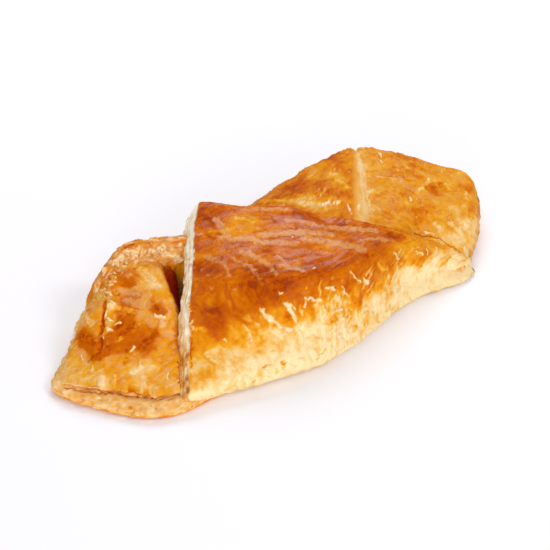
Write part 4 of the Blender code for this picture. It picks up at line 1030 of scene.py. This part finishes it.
class PASTRY_OT_crumbs(bpy.types.Operator):
    """Strew crumbs and loose flakes along the cut edges and the foot"""

    bl_idname = "pastry.crumbs"
    bl_label = "Crumbs"

    def execute(self, context):
        bpy.ops.object.select_all(action="DESELECT")
        bpy.ops.mesh.primitive_ico_sphere_add(subdivisions=2, radius=1.0)
        ball = context.object
        form = np.array([v.co for v in ball.data.vertices])
        sides = [tuple(p.vertices) for p in ball.data.polygons]
        bpy.data.objects.remove(ball)
        dressed = [bpy.data.objects[name] for name in SKINS]
        draw = np.random.RandomState(CRUMB_SEED)
        points, faces, marks = [], [], []
        for start, end, count, small, large, stray, thin, bare, bake in CRUMB_LINES:
            for i in range(count):
                middle = mix(np.array(start), np.array(end), (i + draw.uniform(0.0, 1.0)) / count)
                middle = middle + draw.uniform(-stray, stray, 3) - MIDDLE
                hits = [piece.ray_cast(Vector(middle * MM) + 0.06 * TO_CAMERA, -TO_CAMERA) for piece in dressed]
                hits = [(hit[1], hit[2]) for hit in hits if hit[0]]
                if not hits:
                    continue
                place, normal = max(hits, key=lambda hit: hit[0].dot(TO_CAMERA))
                half = mix(small, large, draw.uniform() ** 2)
                tilt = Euler(draw.uniform(-0.5, 0.5, 2).tolist() + [draw.uniform(0.0, 6.3)]).to_matrix()
                turn = np.array(normal.to_track_quat("Z", "Y").to_matrix() @ tilt)
                rough = 1.0 + 0.35 * np.array([noise.noise(Vector(p) * 1.4 + Vector(middle)) for p in form])
                shaped = form * (1.5 * half, half, thin * half) * rough[:, None]
                faces += [tuple(k + len(points) * len(form) for k in side) for side in sides]
                points.append(np.array(place) / MM + shaped @ turn.T)
                marks.append((bake + draw.uniform(-0.08, 0.08), bare, draw.uniform(0.2, 0.85), 0.5 * draw.uniform() ** 2))
        mesh = bpy.data.meshes.new("crumbs")
        mesh.from_pydata((np.concatenate(points) * MM).tolist(), [], faces)
        for k, mark in enumerate(("bake", "bare", "tone", "wet")):
            layer = mesh.attributes.new(mark, "FLOAT", "POINT")
            layer.data.foreach_set("value", np.repeat(np.array(marks)[:, k], len(form)).astype(np.float32))
        mesh.shade_smooth()
        mesh.materials.append(pastry_material())
        piece = bpy.data.objects.new("crumbs", mesh)
        context.collection.objects.link(piece)
        stand_in(piece)
        return {"FINISHED"}


class PASTRY_OT_studio(bpy.types.Operator):
    """Set the pale floor, the soft lights and the camera"""

    bl_idname = "pastry.studio"
    bl_label = "Studio"

    def execute(self, context):
        scene = context.scene
        studio = scene.pastry_studio
        bpy.ops.object.select_all(action="DESELECT")
        bpy.ops.mesh.primitive_plane_add(size=12.0)
        floor = context.object
        floor.name = "studio_floor"
        paint = bpy.data.materials.new("white_paper")
        paint.use_nodes = True
        paper = paint.node_tree.nodes["Principled BSDF"]
        paper.inputs["Base Color"].default_value = (0.92, 0.915, 0.955, 1.0)
        paper.inputs["Roughness"].default_value = 0.9
        paper.inputs["Specular IOR Level"].default_value = 0.1
        paper.inputs["Emission Color"].default_value = (0.96, 0.94, 1.0, 1.0)
        paper.inputs["Emission Strength"].default_value = 0.08
        floor.data.materials.append(paint)
        lights = [
            ("key", (0.45, 0.52, 0.72), 1.0, 0.7, 0.55, studio.key),
            ("side", (-0.74, -0.66, 0.2), 1.2, 0.5, 0.38, studio.side),
            ("fill", (-0.12, -0.85, 0.47), 1.2, 0.9, 0.7, studio.fill),
            ("spark", (0.3, -0.62, 0.72), 1.2, 0.34, 0.34, studio.spark),
        ]
        for name, way, away, wide, high, power in lights:
            way = Vector(way).normalized()
            bpy.ops.object.light_add(type="AREA", location=way * away)
            lamp = context.object
            lamp.name = name
            lamp.data.shape = "RECTANGLE"
            lamp.data.size, lamp.data.size_y = wide, high
            lamp.data.energy = power
            lamp.rotation_euler = way.to_track_quat("Z", "Y").to_euler()
        world = bpy.data.worlds.new("studio")
        scene.world = world
        world.use_nodes = True
        world.node_tree.nodes["Background"].inputs["Color"].default_value = (0.97, 0.98, 1.0, 1.0)
        world.node_tree.nodes["Background"].inputs["Strength"].default_value = studio.sky
        bpy.ops.object.camera_add(location=TO_CAMERA * studio.distance - Vector(MIDDLE * MM))
        camera = context.object
        camera.name = "camera"
        camera.rotation_euler = TO_CAMERA.to_track_quat("Z", "Y").to_euler()
        camera.data.sensor_width = 36.0
        camera.data.lens = 1884.0 / 550.0 * 36.0
        camera.data.shift_x = (275.0 - 281.3) / 550.0
        camera.data.shift_y = (304.0 - 275.0) / 550.0
        camera.data.clip_start = 0.02
        scene.camera = camera
        scene.view_settings.view_transform = "Standard"
        return {"FINISHED"}


class PASTRY_PT_panel(bpy.types.Panel):
    """Buttons and settings of the pastry"""

    bl_label = "Pastry"
    bl_space_type = "VIEW_3D"
    bl_region_type = "UI"
    bl_category = "Pastry"

    def draw(self, context):
        for group in (context.scene.pastry, context.scene.pastry_studio):
            for name in group.__annotations__:
                self.layout.prop(group, name)
        for operator in OPERATORS:
            self.layout.operator(operator.bl_idname)


OPERATORS = (
    PASTRY_OT_bottom_layer, PASTRY_OT_open_corner, PASTRY_OT_shut_corner, PASTRY_OT_far_flap, PASTRY_OT_near_flap,
    PASTRY_OT_crumbs, PASTRY_OT_studio,
)
CLASSES = (PastrySettings, StudioSettings, *OPERATORS, PASTRY_PT_panel)


def register():
    for made in CLASSES:
        bpy.utils.register_class(made)
    bpy.types.Scene.pastry = PointerProperty(type=PastrySettings)
    bpy.types.Scene.pastry_studio = PointerProperty(type=StudioSettings)


def unregister():
    del bpy.types.Scene.pastry_studio
    del bpy.types.Scene.pastry
    for made in reversed(CLASSES):
        bpy.utils.unregister_class(made)


def main():
    register()
    bpy.ops.pastry.bottom_layer()
    bpy.ops.pastry.open_corner()
    bpy.ops.pastry.shut_corner()
    bpy.ops.pastry.far_flap()
    bpy.ops.pastry.near_flap()
    bpy.ops.pastry.crumbs()
    bpy.ops.pastry.studio()


if __name__ == "__main__":
    main()
